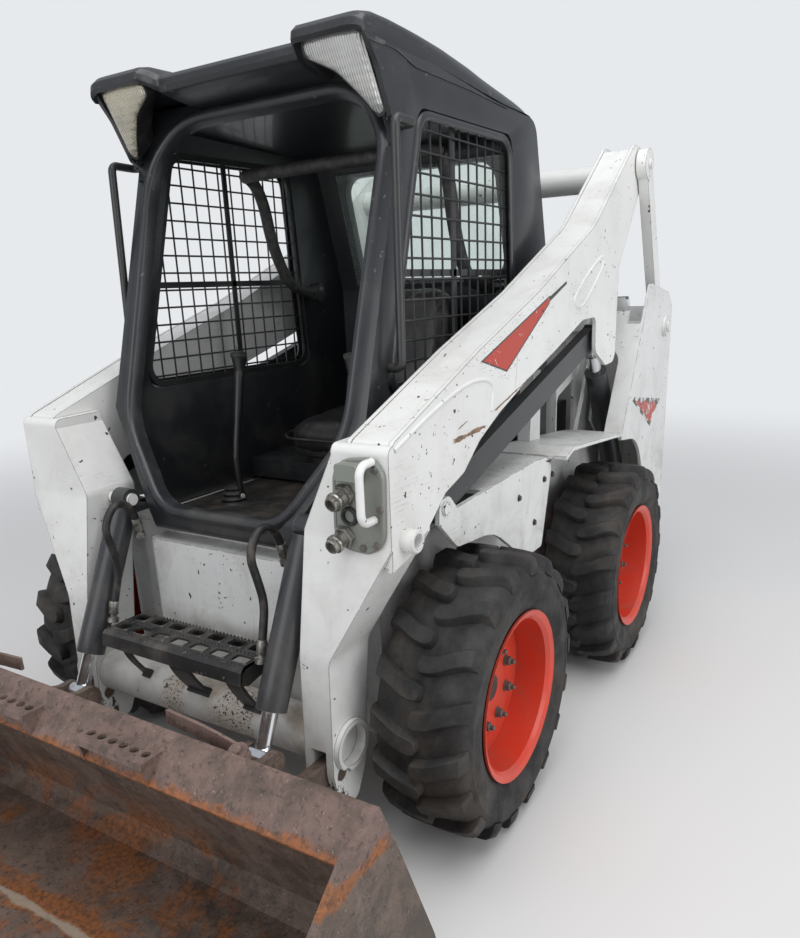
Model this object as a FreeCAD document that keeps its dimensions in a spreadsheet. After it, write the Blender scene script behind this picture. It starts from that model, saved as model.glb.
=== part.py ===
# Skid steer loader with a vertical-lift boom and a general-purpose bucket.
# Millimetres. +X is forward, +Y is the machine's left, +Z is up. The origin lies on the ground,
# under the middle of the machine. Outlines give places ahead of an axle and above the ground.
import FreeCAD, Part
import math
import os
import re
from types import SimpleNamespace

from FreeCAD import Placement, Rotation, Vector

doc = FreeCAD.newDocument("skid_steer_loader")

# Driving dimensions: name, value
DIMENSIONS = [
    ("front_axle_x", 310.0), ("wheelbase", 1085.0),
    ("tyre_radius", 377.0), ("tyre_width", 256.0), ("rim_radius", 213.0), ("lug_height", 24.0),
    ("spindle_radius", 35.0), ("axle_tube_radius", 62.0),
    ("tub_half_width", 458.0), ("tub_plate", 12.0), ("tub_floor", 205.0), ("deck_height", 770.0),
    ("hood_height", 1318.0),
    ("side_inner", "tub_half_width + 26"), ("side_outer", "side_inner + 190"), ("side_plate", 12.0),
    ("sill_outer", "side_inner + 128"),
    ("arm_inner", "side_inner + 16"), ("arm_outer", "arm_inner + 117"), ("arm_plate", 12.0),
    ("leg_outer", "arm_inner - 34"), ("leg_inner", "leg_outer - 84"), ("nose_half_width", "leg_inner - 99"),
    ("control_inner", "arm_inner + 64"), ("control_outer", "control_inner + 32"),
    ("link_inner", "arm_outer + 4"), ("link_outer", "link_inner + 36"),
    ("control_depth", 72.0), ("control_eye", 40.0), ("link_depth", 70.0), ("link_eye", 52.0),
    ("wheel_y", "side_inner + 160"), ("cab_half_width", "tub_half_width - 18"), ("cab_wall", 34.0), ("cab_sill", 776.0),
    ("lift_cylinder_y", "arm_inner + 45"), ("lift_barrel_radius", 41.0), ("lift_rod_radius", 24.0),
    ("lift_eye_width", 26.0), ("lift_barrel_length", 930.0),
    ("tilt_cylinder_y", "leg_inner - 54"), ("tilt_barrel_radius", 38.0), ("tilt_rod_radius", 19.0),
    ("tilt_eye_width", 50.0), ("tilt_pin_inner", "tilt_cylinder_y - 33"), ("tilt_barrel_length", 440.0), ("gland_length", 26.0),
    ("small_pin_radius", 17.0), ("large_pin_radius", 22.0), ("running_gap", 0.05),
    ("cross_tube_radius", 46.0), ("torque_tube_radius", 62.0), ("torque_tube_wall", 7.0),
    ("bucket_half_width", "wheel_y + 176"), ("bucket_sheet", 10.0), ("bucket_side", 14.0), ("bucket_step_width", 205.0),
        ("step_half_width", 250.0), ("attach_half_width", 545.0), ("attach_plate", 12.0),
    ("gap", 0.3), ("barrel_wall", 8.0), ("seat_bar_radius", 14.0),
    ("gate_pin_radius", 12.0), ("screen_pitch", 50.0), ("screen_wire", 5.0),
]

# Pivots: name, axle they are measured from, ahead, above
PIVOTS = [
    ("control_front", "front", 121.0, 898.0),
    ("control_rear", "rear", 71.0, 1218.0),
    ("link_lower", "rear", -595.0, 1212.0),
    ("link_upper", "rear", -305.0, 1795.0),
    ("lift_lug", "rear", -57.0, 1165.0),
    ("lift_base", "rear", -625.0, 300.0),
    ("tilt_upper", "front", 285.0, 862.0),
    ("tilt_eye", "front", 525.0, 362.0),
    ("bucket_pivot", "front", 400.0, 290.0),
    ("torque_tube", "front", 362.0, 352.0),
    ("cross_tube", "rear", -215.0, 1752.0),
    ("cab_hinge", "rear", 75.0, 1352.0),
    ("bar_hinge", "rear", 395.0, 1400.0),
]

sheet = doc.addObject("Spreadsheet::Sheet", "sizes")
size = SimpleNamespace()


def worth(text):
    """The value of a sum of driving names."""
    total = 0.0
    for sign, term in re.findall(r"([+-]?)\s*([a-z]\w*|[\d.]+)", text):
        amount = getattr(size, term) if term[0].isalpha() else float(term)
        total += -amount if sign == "-" else amount
    return total


def record(alias, value):
    """Writes one driving value, or a sum of earlier ones, into the next row of the sheet, under its name."""
    row = len(vars(size)) + 1
    sheet.set("A%d" % row, alias)
    sheet.set("B%d" % row, "=" + value if isinstance(value, str) else repr(value))
    sheet.setAlias("B%d" % row, alias)
    setattr(size, alias, worth(value) if isinstance(value, str) else value)


for alias, value in DIMENSIONS:
    record(alias, value)
for name, axle, ahead, above in PIVOTS:
    record(name + "_ahead", ahead)
    record(name + "_above", above)
doc.recompute()

AXLE = {"front": size.front_axle_x, "rear": size.front_axle_x - size.wheelbase}
pivot = {
    name: Vector(AXLE[axle] + getattr(size, name + "_ahead"), 0, getattr(size, name + "_above"))
    for name, axle, ahead, above in PIVOTS
}
SIDES = (("left", 1), ("right", -1))


def bound(text):
    """Turns a sum of driving names into an expression on the sheet's cells."""
    return re.sub(r"[a-z]\w*", lambda word: "sizes." + word.group(0), text)


def from_axle(axle, points):
    """Places outline corners (ahead, above, radius) from an axle; the radius may be left out."""
    return [(AXLE[axle] + p[0],) + tuple(p[1:]) for p in points]


def rounded(corners):
    """Lines and arcs of a closed outline; a corner's third number is its radius."""
    flat = [Vector(c[0], c[1], 0) for c in corners]
    radii = [c[2] if len(c) > 2 else 0 for c in corners]
    joints = []
    for i, corner in enumerate(flat):
        to_last = (flat[i - 1] - corner).normalize()
        to_next = (flat[(i + 1) % len(flat)] - corner).normalize()
        half_angle = to_last.getAngle(to_next) / 2
        if radii[i] == 0:
            joints.append((corner, None, corner))
            continue
        reach = radii[i] / math.tan(half_angle)
        bisector = (to_last + to_next).normalize()
        centre = corner + bisector * (radii[i] / math.sin(half_angle))
        middle = centre - bisector * radii[i]
        joints.append((corner + to_last * reach, middle, corner + to_next * reach))
    edges = []
    for i, (start, middle, end) in enumerate(joints):
        if middle is not None:
            edges.append(Part.Arc(start, middle, end))
        following = joints[(i + 1) % len(joints)][0]
        if end.distanceToPoint(following) > 1e-6:
            edges.append(Part.LineSegment(end, following))
    return edges


def folded_sheet(path, thickness):
    """Closed outline of a sheet folded along an open path, its thickness to the path's left."""
    inner = []
    for i, (a, b) in enumerate(path):
        before = Vector(a - path[i - 1][0], b - path[i - 1][1], 0) if i else None
        after = Vector(path[i + 1][0] - a, path[i + 1][1] - b, 0) if i + 1 < len(path) else None
        normals = [Vector(-v.y, v.x, 0).normalize() for v in (before, after) if v is not None]
        across = sum(normals[1:], normals[0]).normalize()
        across = across * (thickness / across.dot(normals[0]))
        inner.append((a + across.x, b + across.y))
    return list(path) + inner[::-1]


PLANES = {"side": "XZ_Plane", "front": "YZ_Plane", "plan": "XY_Plane"}


def pad(name, view, outlines, low, high):
    """A plate cut to an outline seen in one view, from low to high along that view's axis."""
    body = doc.addObject("PartDesign::Body", name)
    origin = body.Origin.OriginFeatures
    sketch = body.newObject("Sketcher::SketchObject", name + "_outline")
    sketch.AttachmentSupport = [([f for f in origin if f.Role == PLANES[view]][0], "")]
    sketch.MapMode = "FlatFace"
    start = "-(%s)" % bound(high) if view == "side" else bound(low)
    sketch.setExpression("AttachmentOffset.Base.z", start)
    if not isinstance(outlines[0], list):
        outlines = [outlines]
    for outline in outlines:
        sketch.addGeometry(rounded(outline), False)
    feature = body.newObject("PartDesign::Pad", name + "_pad")
    feature.Profile = sketch
    feature.setExpression("Length", "(%s) - (%s)" % (bound(high), bound(low)))
    return body


def sided(sign, low, high):
    """Two distances out from the middle, as low and high on the left or the right side."""
    return (low, high) if sign > 0 else ("-(%s)" % high, "-(%s)" % low)


def across(name, centre, sign, low, high, radius):
    """A round bar along Y, from low to high out from the middle, on one side."""
    bar = doc.addObject("Part::Cylinder", name)
    bar.setExpression("Radius", bound(radius))
    bar.setExpression("Height", "(%s) - (%s)" % (bound(high), bound(low)))
    start = worth(low) if sign > 0 else -worth(high)
    bar.Placement = Placement(Vector(centre.x, start, centre.z), Rotation(Vector(1, 0, 0), -90))
    return bar


def between(name, start, end, radius):
    """A round bar from one point to another."""
    bar = doc.addObject("Part::Cylinder", name)
    bar.setExpression("Radius", bound(radius))
    bar.Height = start.distanceToPoint(end)
    bar.Placement = Placement(start, Rotation(Vector(0, 0, 1), end - start))
    return bar


def box(name, x_range, y_range, z_range):
    """A rectangular block between two corners."""
    block = doc.addObject("Part::Box", name)
    block.Length = x_range[1] - x_range[0]
    block.Width = y_range[1] - y_range[0]
    block.Height = z_range[1] - z_range[0]
    block.Placement.Base = Vector(x_range[0], y_range[0], z_range[0])
    return block


def tube_path(name, points, radius, bend):
    """A bent round tube along straight runs joined by arcs."""
    corners = [Vector(*p) for p in points]
    edges = []
    last = corners[0]
    for i in range(1, len(corners) - 1):
        corner = corners[i]
        to_last = (corners[i - 1] - corner).normalize()
        to_next = (corners[i + 1] - corner).normalize()
        half_angle = to_last.getAngle(to_next) / 2
        reach = bend / math.tan(half_angle)
        bisector = (to_last + to_next).normalize()
        middle = corner + bisector * (bend / math.sin(half_angle) - bend)
        edges.append(Part.LineSegment(last, corner + to_last * reach).toShape())
        edges.append(Part.Arc(corner + to_last * reach, middle, corner + to_next * reach).toShape())
        last = corner + to_next * reach
    edges.append(Part.LineSegment(last, corners[-1]).toShape())
    ring = Part.Circle(corners[0], corners[1] - corners[0], radius).toShape()
    tube = Part.Wire(edges).makePipeShell([Part.Wire([ring])], True, False)
    feature = doc.addObject("Part::Feature", name)
    feature.Shape = tube
    return feature


def fuse(name, pieces):
    """One solid from pieces that are welded together."""
    if len(pieces) == 1:
        return pieces[0]
    whole = doc.addObject("Part::MultiFuse", name)
    whole.Shapes = pieces
    whole.Refine = True
    return whole


def cut(name, base, tools):
    """A piece with openings taken out of it."""
    tool = tools[0] if len(tools) == 1 else fuse(name + "_tools", tools)
    rest = doc.addObject("Part::Cut", name)
    rest.Base = base
    rest.Tool = tool
    rest.Refine = True
    return rest


def common(name, first, second):
    """What two crossing outlines have in common."""
    both = doc.addObject("Part::MultiCommon", name)
    both.Shapes = [first, second]
    return both


nodes = {}


def node(label, feature):
    """Keeps a finished sub-part under the label that names its file."""
    feature.Label = label
    nodes[label] = feature


def at(centre, ahead=0.0, above=0.0):
    """A point of the side view, from a pivot."""
    return Vector(centre.x + ahead, 0, centre.z + above)


def revolved(name, centre, outline):
    """A ring turned about an axle along Y, from an outline of distance along it and height."""
    profile = doc.addObject("Sketcher::SketchObject", name + "_profile")
    profile.Placement = Placement(Vector(centre.x, 0, 0), Rotation(0.5, 0.5, 0.5, 0.5))
    profile.addGeometry(rounded(outline), False)
    ring = doc.addObject("Part::Revolution", name)
    ring.Source = profile
    ring.Axis = Vector(0, 1, 0)
    ring.Base = centre
    ring.Angle = 360
    ring.Solid = True
    return ring


def sided_range(sign, low, high):
    """Two distances out from the middle, as a rising pair on one side."""
    return (low, high) if sign > 0 else (-high, -low)


def plates(name, outline, sign, spans):
    """Plates of one outline side by side, each between two distances out from the middle."""
    return [pad("%s_%d" % (name, i), "side", outline, *sided(sign, low, high))
            for i, (low, high) in enumerate(spans)]


def link_bar(name, start, end, depth, eye, sign, low, high):
    """A flat bar between two pivots, with a round eye at each end."""
    line = (end - start).normalize()
    side = Vector(-line.z, 0, line.x) * (getattr(size, depth) / 2)
    corners = [start + side, end + side, end - side, start - side]
    bar = pad(name + "_bar", "side", [(c.x, c.z) for c in corners], *sided(sign, low, high))
    return [bar, across(name + "_start_eye", start, sign, low, high, eye),
            across(name + "_end_eye", end, sign, low, high, eye)]


def slab(name, corners, beyond):
    """A thick slab on the far side of a plane through three corners, for cutting a bevel."""
    first, second, third = [Vector(*c) for c in corners]
    normal = (second - first).cross(third - first).normalize()
    if normal.dot(beyond) < 0:
        normal = -normal
    along = (second - first).normalize() * 900
    over = normal.cross(along).normalize() * 900
    middle = (first + second + third) / 3
    square = [middle + along + over, middle - along + over, middle - along - over, middle + along - over]
    feature = doc.addObject("Part::Feature", name)
    feature.Shape = Part.Face(Part.makePolygon(square + square[:1])).extrude(normal * 600)
    return feature


# Main frame: a welded tub between the wheels, open on top, with the footwell and the engine bay.
def main_frame():
    half = size.tub_half_width
    plate = size.tub_plate
    front = AXLE["front"] + 190
    rear = AXLE["rear"]
    tail = rear - 850
    floor = size.tub_floor
    deck = size.deck_height
    hood = size.hood_height
    belly = [(tail, floor + 190), (rear - 700, floor), (front - 90, floor), (front, floor + 90), (front, deck)]
    pieces = [pad("belly", "side", folded_sheet(belly, plate), "-tub_half_width", "tub_half_width")]
    wall = belly + [(rear + 60, deck, 60), (rear + 60, hood), (tail, hood)]
    window = [(rear - 130, 800, 20), (rear + 150, 800, 20), (rear + 40, 1000, 20), (rear - 130, 1050, 20)]
    for side, sign in SIDES:
        name = "tub_wall_" + side
        solid = pad(name, "side", wall, *sided(sign, "tub_half_width - tub_plate", "tub_half_width"))
        hole = pad(name + "_window", "side", window, *sided(sign, "tub_half_width - 40", "tub_half_width + 20"))
        pieces.append(cut(name + "_open", solid, [hole]))
    wide = size.nose_half_width
    reach = front + 72
    nose = pad("nose_outer", "plan", [(front - 20, -wide), (reach, -wide, 22), (reach, wide, 22), (front - 20, wide)],
               "tub_floor + 95", "deck_height - 25")
    hollow = pad("nose_inner", "plan",
                 [(front - 30, plate - wide), (reach - plate, plate - wide, 10), (reach - plate, wide - plate, 10),
                  (front - 30, wide - plate)], "tub_floor + 85", "deck_height - 25 - tub_plate")
    pieces.append(cut("nose", nose, [hollow]))
    pieces.append(pad("footwell_floor", "side", [(AXLE["front"] - 330, deck - plate), (front, deck - plate),
                      (front, deck), (AXLE["front"] - 330, deck)], "1 - tub_half_width", "tub_half_width - 1"))
    pieces.append(pad("bay_wall", "side", [(rear + 60 - plate, floor + 1), (rear + 60, floor + 1), (rear + 60, hood),
                      (rear + 60 - plate, hood)], "1 - tub_half_width", "tub_half_width - 1"))
    hinge = pivot["cab_hinge"]
    bracket = [(rear + 50, hinge.z - 110), (hinge.x + 22, hinge.z - 40, 10), (hinge.x + 26, hinge.z + 26, 25),
               (hinge.x - 26, hinge.z + 26, 25), (rear + 50, hinge.z - 40)]
    for side, sign in SIDES:
        pieces.append(pad("cab_bracket_" + side, "side", bracket, *sided(sign, "cab_half_width - 44", "cab_half_width - 32")))
        pieces.append(across("cab_pin_" + side, hinge, sign, "cab_half_width - 64", "cab_half_width - 40", "small_pin_radius"))
    for side, sign in SIDES:
        lever = Vector(AXLE["front"] - 50, 0, deck + 30)
        ear = [(lever.x - 22, deck - 2), (lever.x + 22, deck - 2), (lever.x + 16, lever.z + 14, 12),
               (lever.x - 16, lever.z + 14, 12)]
        name = "lever_mount_" + side
        pieces.append(pad(name, "side", ear, *sided(sign, "218", "226")))
        pieces.append(across(name + "_pin", lever, sign, "196", "220", "8"))
    for side, sign in SIDES:
        pedal = [(front - 120, deck - 2), (front - 60, deck - 2), (front - 24, deck + 34), (front - 32, deck + 40)]
        pieces.append(pad("pedal_" + side, "side", pedal, *sided(sign, "120", "200")))
    for low in (600.0, 1100.0):
        name = "gate_hinge_%d" % low
        pieces.append(box(name, (tail - 39, tail + 8), (-half - 42, 1 - half), (low, low + 30)))
        pin = doc.addObject("Part::Cylinder", name + "_pin")
        pin.setExpression("Radius", "sizes.gate_pin_radius")
        pin.Height = 88
        pin.Placement.Base = Vector(tail - 25, -half - 28, low + 1)
        pieces.append(pin)
    node("main_frame", fuse("main_frame", pieces))


main_frame()


# Side frames: the tall rear upright, the fender and the sill under the boom on each side.
def side_frame(side, sign):
    rear = AXLE["rear"]
    name = "side_frame_" + side
    base = pivot["lift_base"]
    outer = from_axle("rear", [(-35, 838, 8), (-270, 1235, 30), (-350, 1385, 30), (-640, 1345, 30),
                               (-715, 1290, 30), (-715, 255, 12), (-565, 255, 12), (-400, 430, 20),
                               (-320, 800, 220)])
    inner = from_axle("rear", [(-240, 870, 8), (-330, 1235, 30), (-380, 1330, 30), (-640, 1330, 30),
                               (-715, 1290, 30), (-715, 250, 12), (-550, 250, 12), (-400, 430, 20),
                               (-380, 760, 120)])
    pieces = plates(name + "_outer", outer, sign, [("side_outer - side_plate", "side_outer")])
    pieces += plates(name + "_inner", inner, sign, [("side_inner", "side_inner + side_plate")])
    web_line = [(rear - 42, 850), (rear - 300, 1287)]
    web = pad(name + "_web", "side", folded_sheet(web_line, size.side_plate),
              *sided(sign, "side_inner + 2", "side_outer - 2"))
    low_arch = box(name + "_arch", (rear - 300, rear + 40), sided_range(sign, size.side_inner + 14, size.side_outer - 68), (862, 1100))
    top_arch = doc.addObject("Part::Cylinder", name + "_arch_top")
    top_arch.Radius = 54
    top_arch.Height = 340
    top_arch.Placement = Placement(Vector(rear - 300, sign * (size.side_inner + 68), 1100), Rotation(Vector(0, 1, 0), 90))
    lane = box(name + "_lane", (rear - 360, rear - 200), sided_range(sign, size.link_inner - 9, size.link_outer + 4), (1240, 1320))
    pieces.append(cut(name + "_web_open", web, [low_arch, top_arch, lane]))
    back_line = [(rear - 715, 255), (rear - 715, 1290)]
    pieces.append(pad(name + "_back", "side", folded_sheet(back_line[::-1], size.side_plate),
                      *sided(sign, "side_inner + 2", "side_outer - 2")))
    tie = [(rear - 640, 560), (rear - 500, 560), (rear - 500, 572), (rear - 640, 572)]
    pieces.append(pad(name + "_tie", "side", tie, *sided(sign, "tub_half_width", "side_inner + 2")))
    tie = [(rear - 640, 1200), (rear - 400, 1200), (rear - 400, 1212), (rear - 640, 1212)]
    pieces.append(pad(name + "_upper_tie", "side", tie, *sided(sign, "tub_half_width", "side_inner + 2")))
    fender = [(rear - 52, 850), (rear + 60, 862), (rear + 250, 880), (rear + 480, 900),
              (rear + 540, 882)]
    pieces.append(pad(name + "_fender", "side", folded_sheet(fender, size.side_plate),
                      *sided(sign, "tub_half_width", "side_outer")))
    ear = pivot["control_front"]
    sill = from_axle("front", [(155, 868, 10), (60, 884, 10), (-460, 896, 20), (-585, 862, 30), (-505, 612, 16),
                               (-375, 612, 16), (-150, 760, 260), (60, 782, 40)])
    pieces += plates(name + "_sill", sill, sign, [("sill_outer - side_plate", "sill_outer")])
    knob = [(ear.x - 70, 876), (ear.x - 24, ear.z + 26, 26), (ear.x + 27, ear.z + 26, 26), (ear.x + 31, 862)]
    pieces += plates(name + "_front_ear", knob, sign, [("sill_outer - side_plate", "sill_outer")])
    shelf = [(AXLE["front"] - 110, 872), (AXLE["front"] - 480, 881), (AXLE["front"] - 560, 876)]
    pieces.append(pad(name + "_shelf", "side", folded_sheet(shelf[::-1], size.side_plate),
                      *sided(sign, "tub_half_width", "sill_outer")))
    strut = from_axle("rear", [(332, 862, 20), (332, 1130), (400, 1130), (428, 862, 20)])
    pieces.append(pad(name + "_strut", "side", strut, *sided(sign, "tub_half_width + 4", "tub_half_width + 46")))
    strut_foot = from_axle("rear", [(345, 1090), (345, 1118), (390, 1118), (390, 1090)])
    pieces.append(pad(name + "_strut_pad", "side", strut_foot, *sided(sign, "tub_half_width", "tub_half_width + 6")))
    pins = [("control_pin", "control_front", "control_inner - 8", "sill_outer + 8", "small_pin_radius"),
            ("link_pin", "link_lower", "side_inner", "side_outer + 22", "large_pin_radius"),
            ("lift_pin", "lift_base", "side_inner", "side_outer", "small_pin_radius")]
    for title, centre, low, high, radius in pins:
        pieces.append(across(name + "_" + title, pivot[centre], sign, low, high, radius))
    boss = across(name + "_boss", pivot["link_lower"], sign, "side_outer - 2", "side_outer + 14", "40")
    pieces.append(boss)
    node(name, fuse(name, pieces))


for side, sign in SIDES:
    side_frame(side, sign)


# Rear end: bumper, hood grille, tailgate and the engine that it closes in.
def rear_end():
    rear = AXLE["rear"]
    tail = rear - 850
    gap = size.gap
    bumper = [(tail - gap, 385), (tail - 75, 385, 12), (tail - 75, 470, 12), (tail - gap, 470)]
    node("rear_bumper", pad("rear_bumper", "side", bumper, "-(side_outer - 84)", "side_outer - 84"))
    hood = size.hood_height
    grille = pad("rear_grille_plate", "side",
                 [(tail + 10, hood + gap), (rear + 49, hood + gap), (rear + 49, hood + 12), (tail + 10, hood + 12, 6)],
                 "-(tub_half_width - 3)", "tub_half_width - 3")
    slots = []
    for i in range(9):
        start = rear - 760 + i * 80
        slots.append(box("grille_slot_%d" % i, (start, start + 40), (-size.tub_half_width + 98, size.tub_half_width - 98), (hood - 5, hood + 20)))
    node("rear_grille", cut("rear_grille", grille, slots))
    edge = size.tub_half_width - 10
    pin = -size.tub_half_width - 28
    gate = pad("tailgate_panel", "plan",
               [(tail - 6, -edge), (tail - 6, edge), (tail - 55, edge, 30), (tail - 55, -edge, 30)], "490", "1300")
    pieces = [gate]
    tools = []
    for low in (630.5, 1130.5):
        name = "gate_knuckle_%d" % low
        knuckle = doc.addObject("Part::Cylinder", name)
        knuckle.Radius = 20
        knuckle.Height = 56
        knuckle.Placement.Base = Vector(tail - 25, pin, low)
        pieces += [knuckle, box(name + "_leaf", (tail - 33, tail - 21), (pin, 8 - edge), (low, low + 56))]
        bore = doc.addObject("Part::Cylinder", name + "_bore")
        bore.setExpression("Radius", "sizes.gate_pin_radius + sizes.running_gap")
        bore.Height = 80
        bore.Placement.Base = Vector(tail - 25, pin, low - 10)
        tools.append(bore)
    for i, low in enumerate((700, 790, 880)):
        tools.append(box("gate_louvre_%d" % i, (tail - 60, tail - 45), (-300, 300), (low, low + 30)))
    node("tailgate", cut("tailgate", fuse("tailgate_whole", pieces), tools))
    engine = box("engine_block", (rear - 690, rear - 90), (-230, 230),
                 (size.tub_floor + size.tub_plate + gap, 880))
    node("engine_block", engine)


rear_end()


# Axles: one tube and spindle on each side of the tub for each wheel.
def axles():
    pieces = []
    for end in ("front", "rear"):
        for side, sign in SIDES:
            name = "axle_%s_%s" % (end, side)
            centre = Vector(AXLE[end], 0, size.tyre_radius)
            pieces.append(across(name + "_tube", centre, sign, "tub_half_width + gap", "wheel_y - 44", "axle_tube_radius"))
            pieces.append(across(name + "_spindle", centre, sign, "wheel_y - 44", "wheel_y + 32", "spindle_radius"))
    node("axle_housings", fuse("axle_housings", pieces))


axles()


# Wheels: a solid tyre on a deep-dished rim, turning on its spindle.
# Tyre rings, on one side of the middle: out from it, height between the bars, share of a bar's height,
# turn round the axle in degrees, corners for each bar.
TYRE_RINGS = [
    (97, 207.1, 0.0, 0.0, 1), (115, 232, 0.0, 0.0, 1), (127.5, 295, 0.0, 0.0, 1), (122, 334, 0.0, 0.0, 2),
    (113, 347, 0.85, 0.0, 2), (5, 353, 1.0, -6.5, 2),
]
BARS = 18


def tyre_shape():
    """One tyre about the Y axis at the origin, as flat triangles between its rings."""
    tread = size.tyre_radius - size.lug_height
    shoulder = size.tyre_width / 2 / 128
    first = 90 / BARS - 1.5
    rings = []
    for row in (1, -1):
        for out, height, share, turn, corners in TYRE_RINGS[::row]:
            high = height * size.rim_radius / 213 if height < 240 else height + tread - 353
            ring = []
            for slot in range(2 * BARS):
                raised = size.lug_height * share if (slot % 2 == 0) == (row > 0) else 0
                for offset in ((-3, 3) if corners == 2 else (0,)):
                    angle = math.radians(first + slot * 180 / BARS + offset + turn)
                    ring.append(Vector((high + raised) * math.cos(angle), row * out * shoulder,
                                       (high + raised) * math.sin(angle)))
            rings.append(ring)
    triangles = []
    for i, ring in enumerate(rings):
        after = rings[(i + 1) % len(rings)]
        fine, coarse = (ring, after) if len(ring) > len(after) else (after, ring)
        count = len(fine)
        for j in range(count):
            k = (j + 1) % count
            if len(ring) == len(after):
                triangles.append((ring[j], ring[k], after[k]))
                triangles.append((ring[j], after[k], after[j]))
            elif j % 2 == 0:
                triangles.append((fine[j], fine[k], coarse[j // 2]))
            else:
                triangles.append((fine[j], fine[k], coarse[j // 2]))
                triangles.append((fine[k], coarse[j // 2], coarse[(j // 2 + 1) % len(coarse)]))
    faces = [Part.Face(Part.makePolygon(list(corners) + [corners[0]])) for corners in triangles]
    shell = Part.Shell(faces)
    shell.sewShape()
    solid = Part.Solid(shell)
    if solid.Volume < 0:
        solid.reverse()
    return solid


TYRE = tyre_shape()


def wheel(end, side, sign):
    centre = Vector(AXLE[end], 0, size.tyre_radius)
    name = "%s_%s" % (end, side)
    y = sign * size.wheel_y
    tyre = doc.addObject("Part::Feature", "tyre_" + name)
    tyre.Shape = TYRE
    tyre.Placement.Base = Vector(centre.x, y, centre.z)
    node("tyre_" + name, tyre)
    rim_half = [(226, 120), (226, 114), (212, 108), (206, 100), (206, -100), (212, -108), (226, -114), (226, -120),
                (210, -116), (200, -104), (200, 4), (152, 2), (128, -4), (35.05, -4), (35.05, 28), (128, 28),
                (152, 16), (200, 16), (200, 104), (210, 114)]
    profile = [(y + sign * out, centre.z + high) for high, out in rim_half]
    disc = revolved("rim_%s_disc" % name, centre, profile)
    bolts = []
    for i in range(8):
        angle = math.radians(22.5 + 45 * i)
        spot = Vector(centre.x + 101.6 * math.cos(angle), 0, centre.z + 101.6 * math.sin(angle))
        bolts.append(across("rim_%s_bolt_%d" % (name, i), spot, sign, "wheel_y + 26", "wheel_y + 40", "9"))
    node("rim_" + name, fuse("rim_" + name, [disc] + bolts))


for end in ("front", "rear"):
    for side, sign in SIDES:
        wheel(end, side, sign)


# Steering levers: a bent tube on a pin beside each knee, with a knob.
def steering_lever(side, sign):
    name = "steering_lever_" + side
    foot = Vector(AXLE["front"] - 50, sign * 207, size.deck_height + 30)
    top = Vector(AXLE["front"] - 100, sign * 210, 1190)
    pieces = [across(name + "_eye", foot, sign, "200", "214", "16"),
              tube_path(name + "_tube", [(foot.x - 2, foot.y, foot.z + 8), (foot.x + 6, foot.y, foot.z + 120),
                                         (top.x, top.y, top.z)], 9, 60)]
    grip = doc.addObject("Part::Cone", name + "_grip")
    grip.Radius1 = 17
    grip.Radius2 = 25
    grip.Height = 50
    grip.Placement.Base = Vector(top.x - 4, top.y, top.z - 5)
    pieces.append(grip)
    bore = across(name + "_bore", foot, sign, "190", "224", "8 + running_gap")
    node(name, cut(name, fuse(name + "_whole", pieces), [bore]))


for side, sign in SIDES:
    steering_lever(side, sign)


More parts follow.
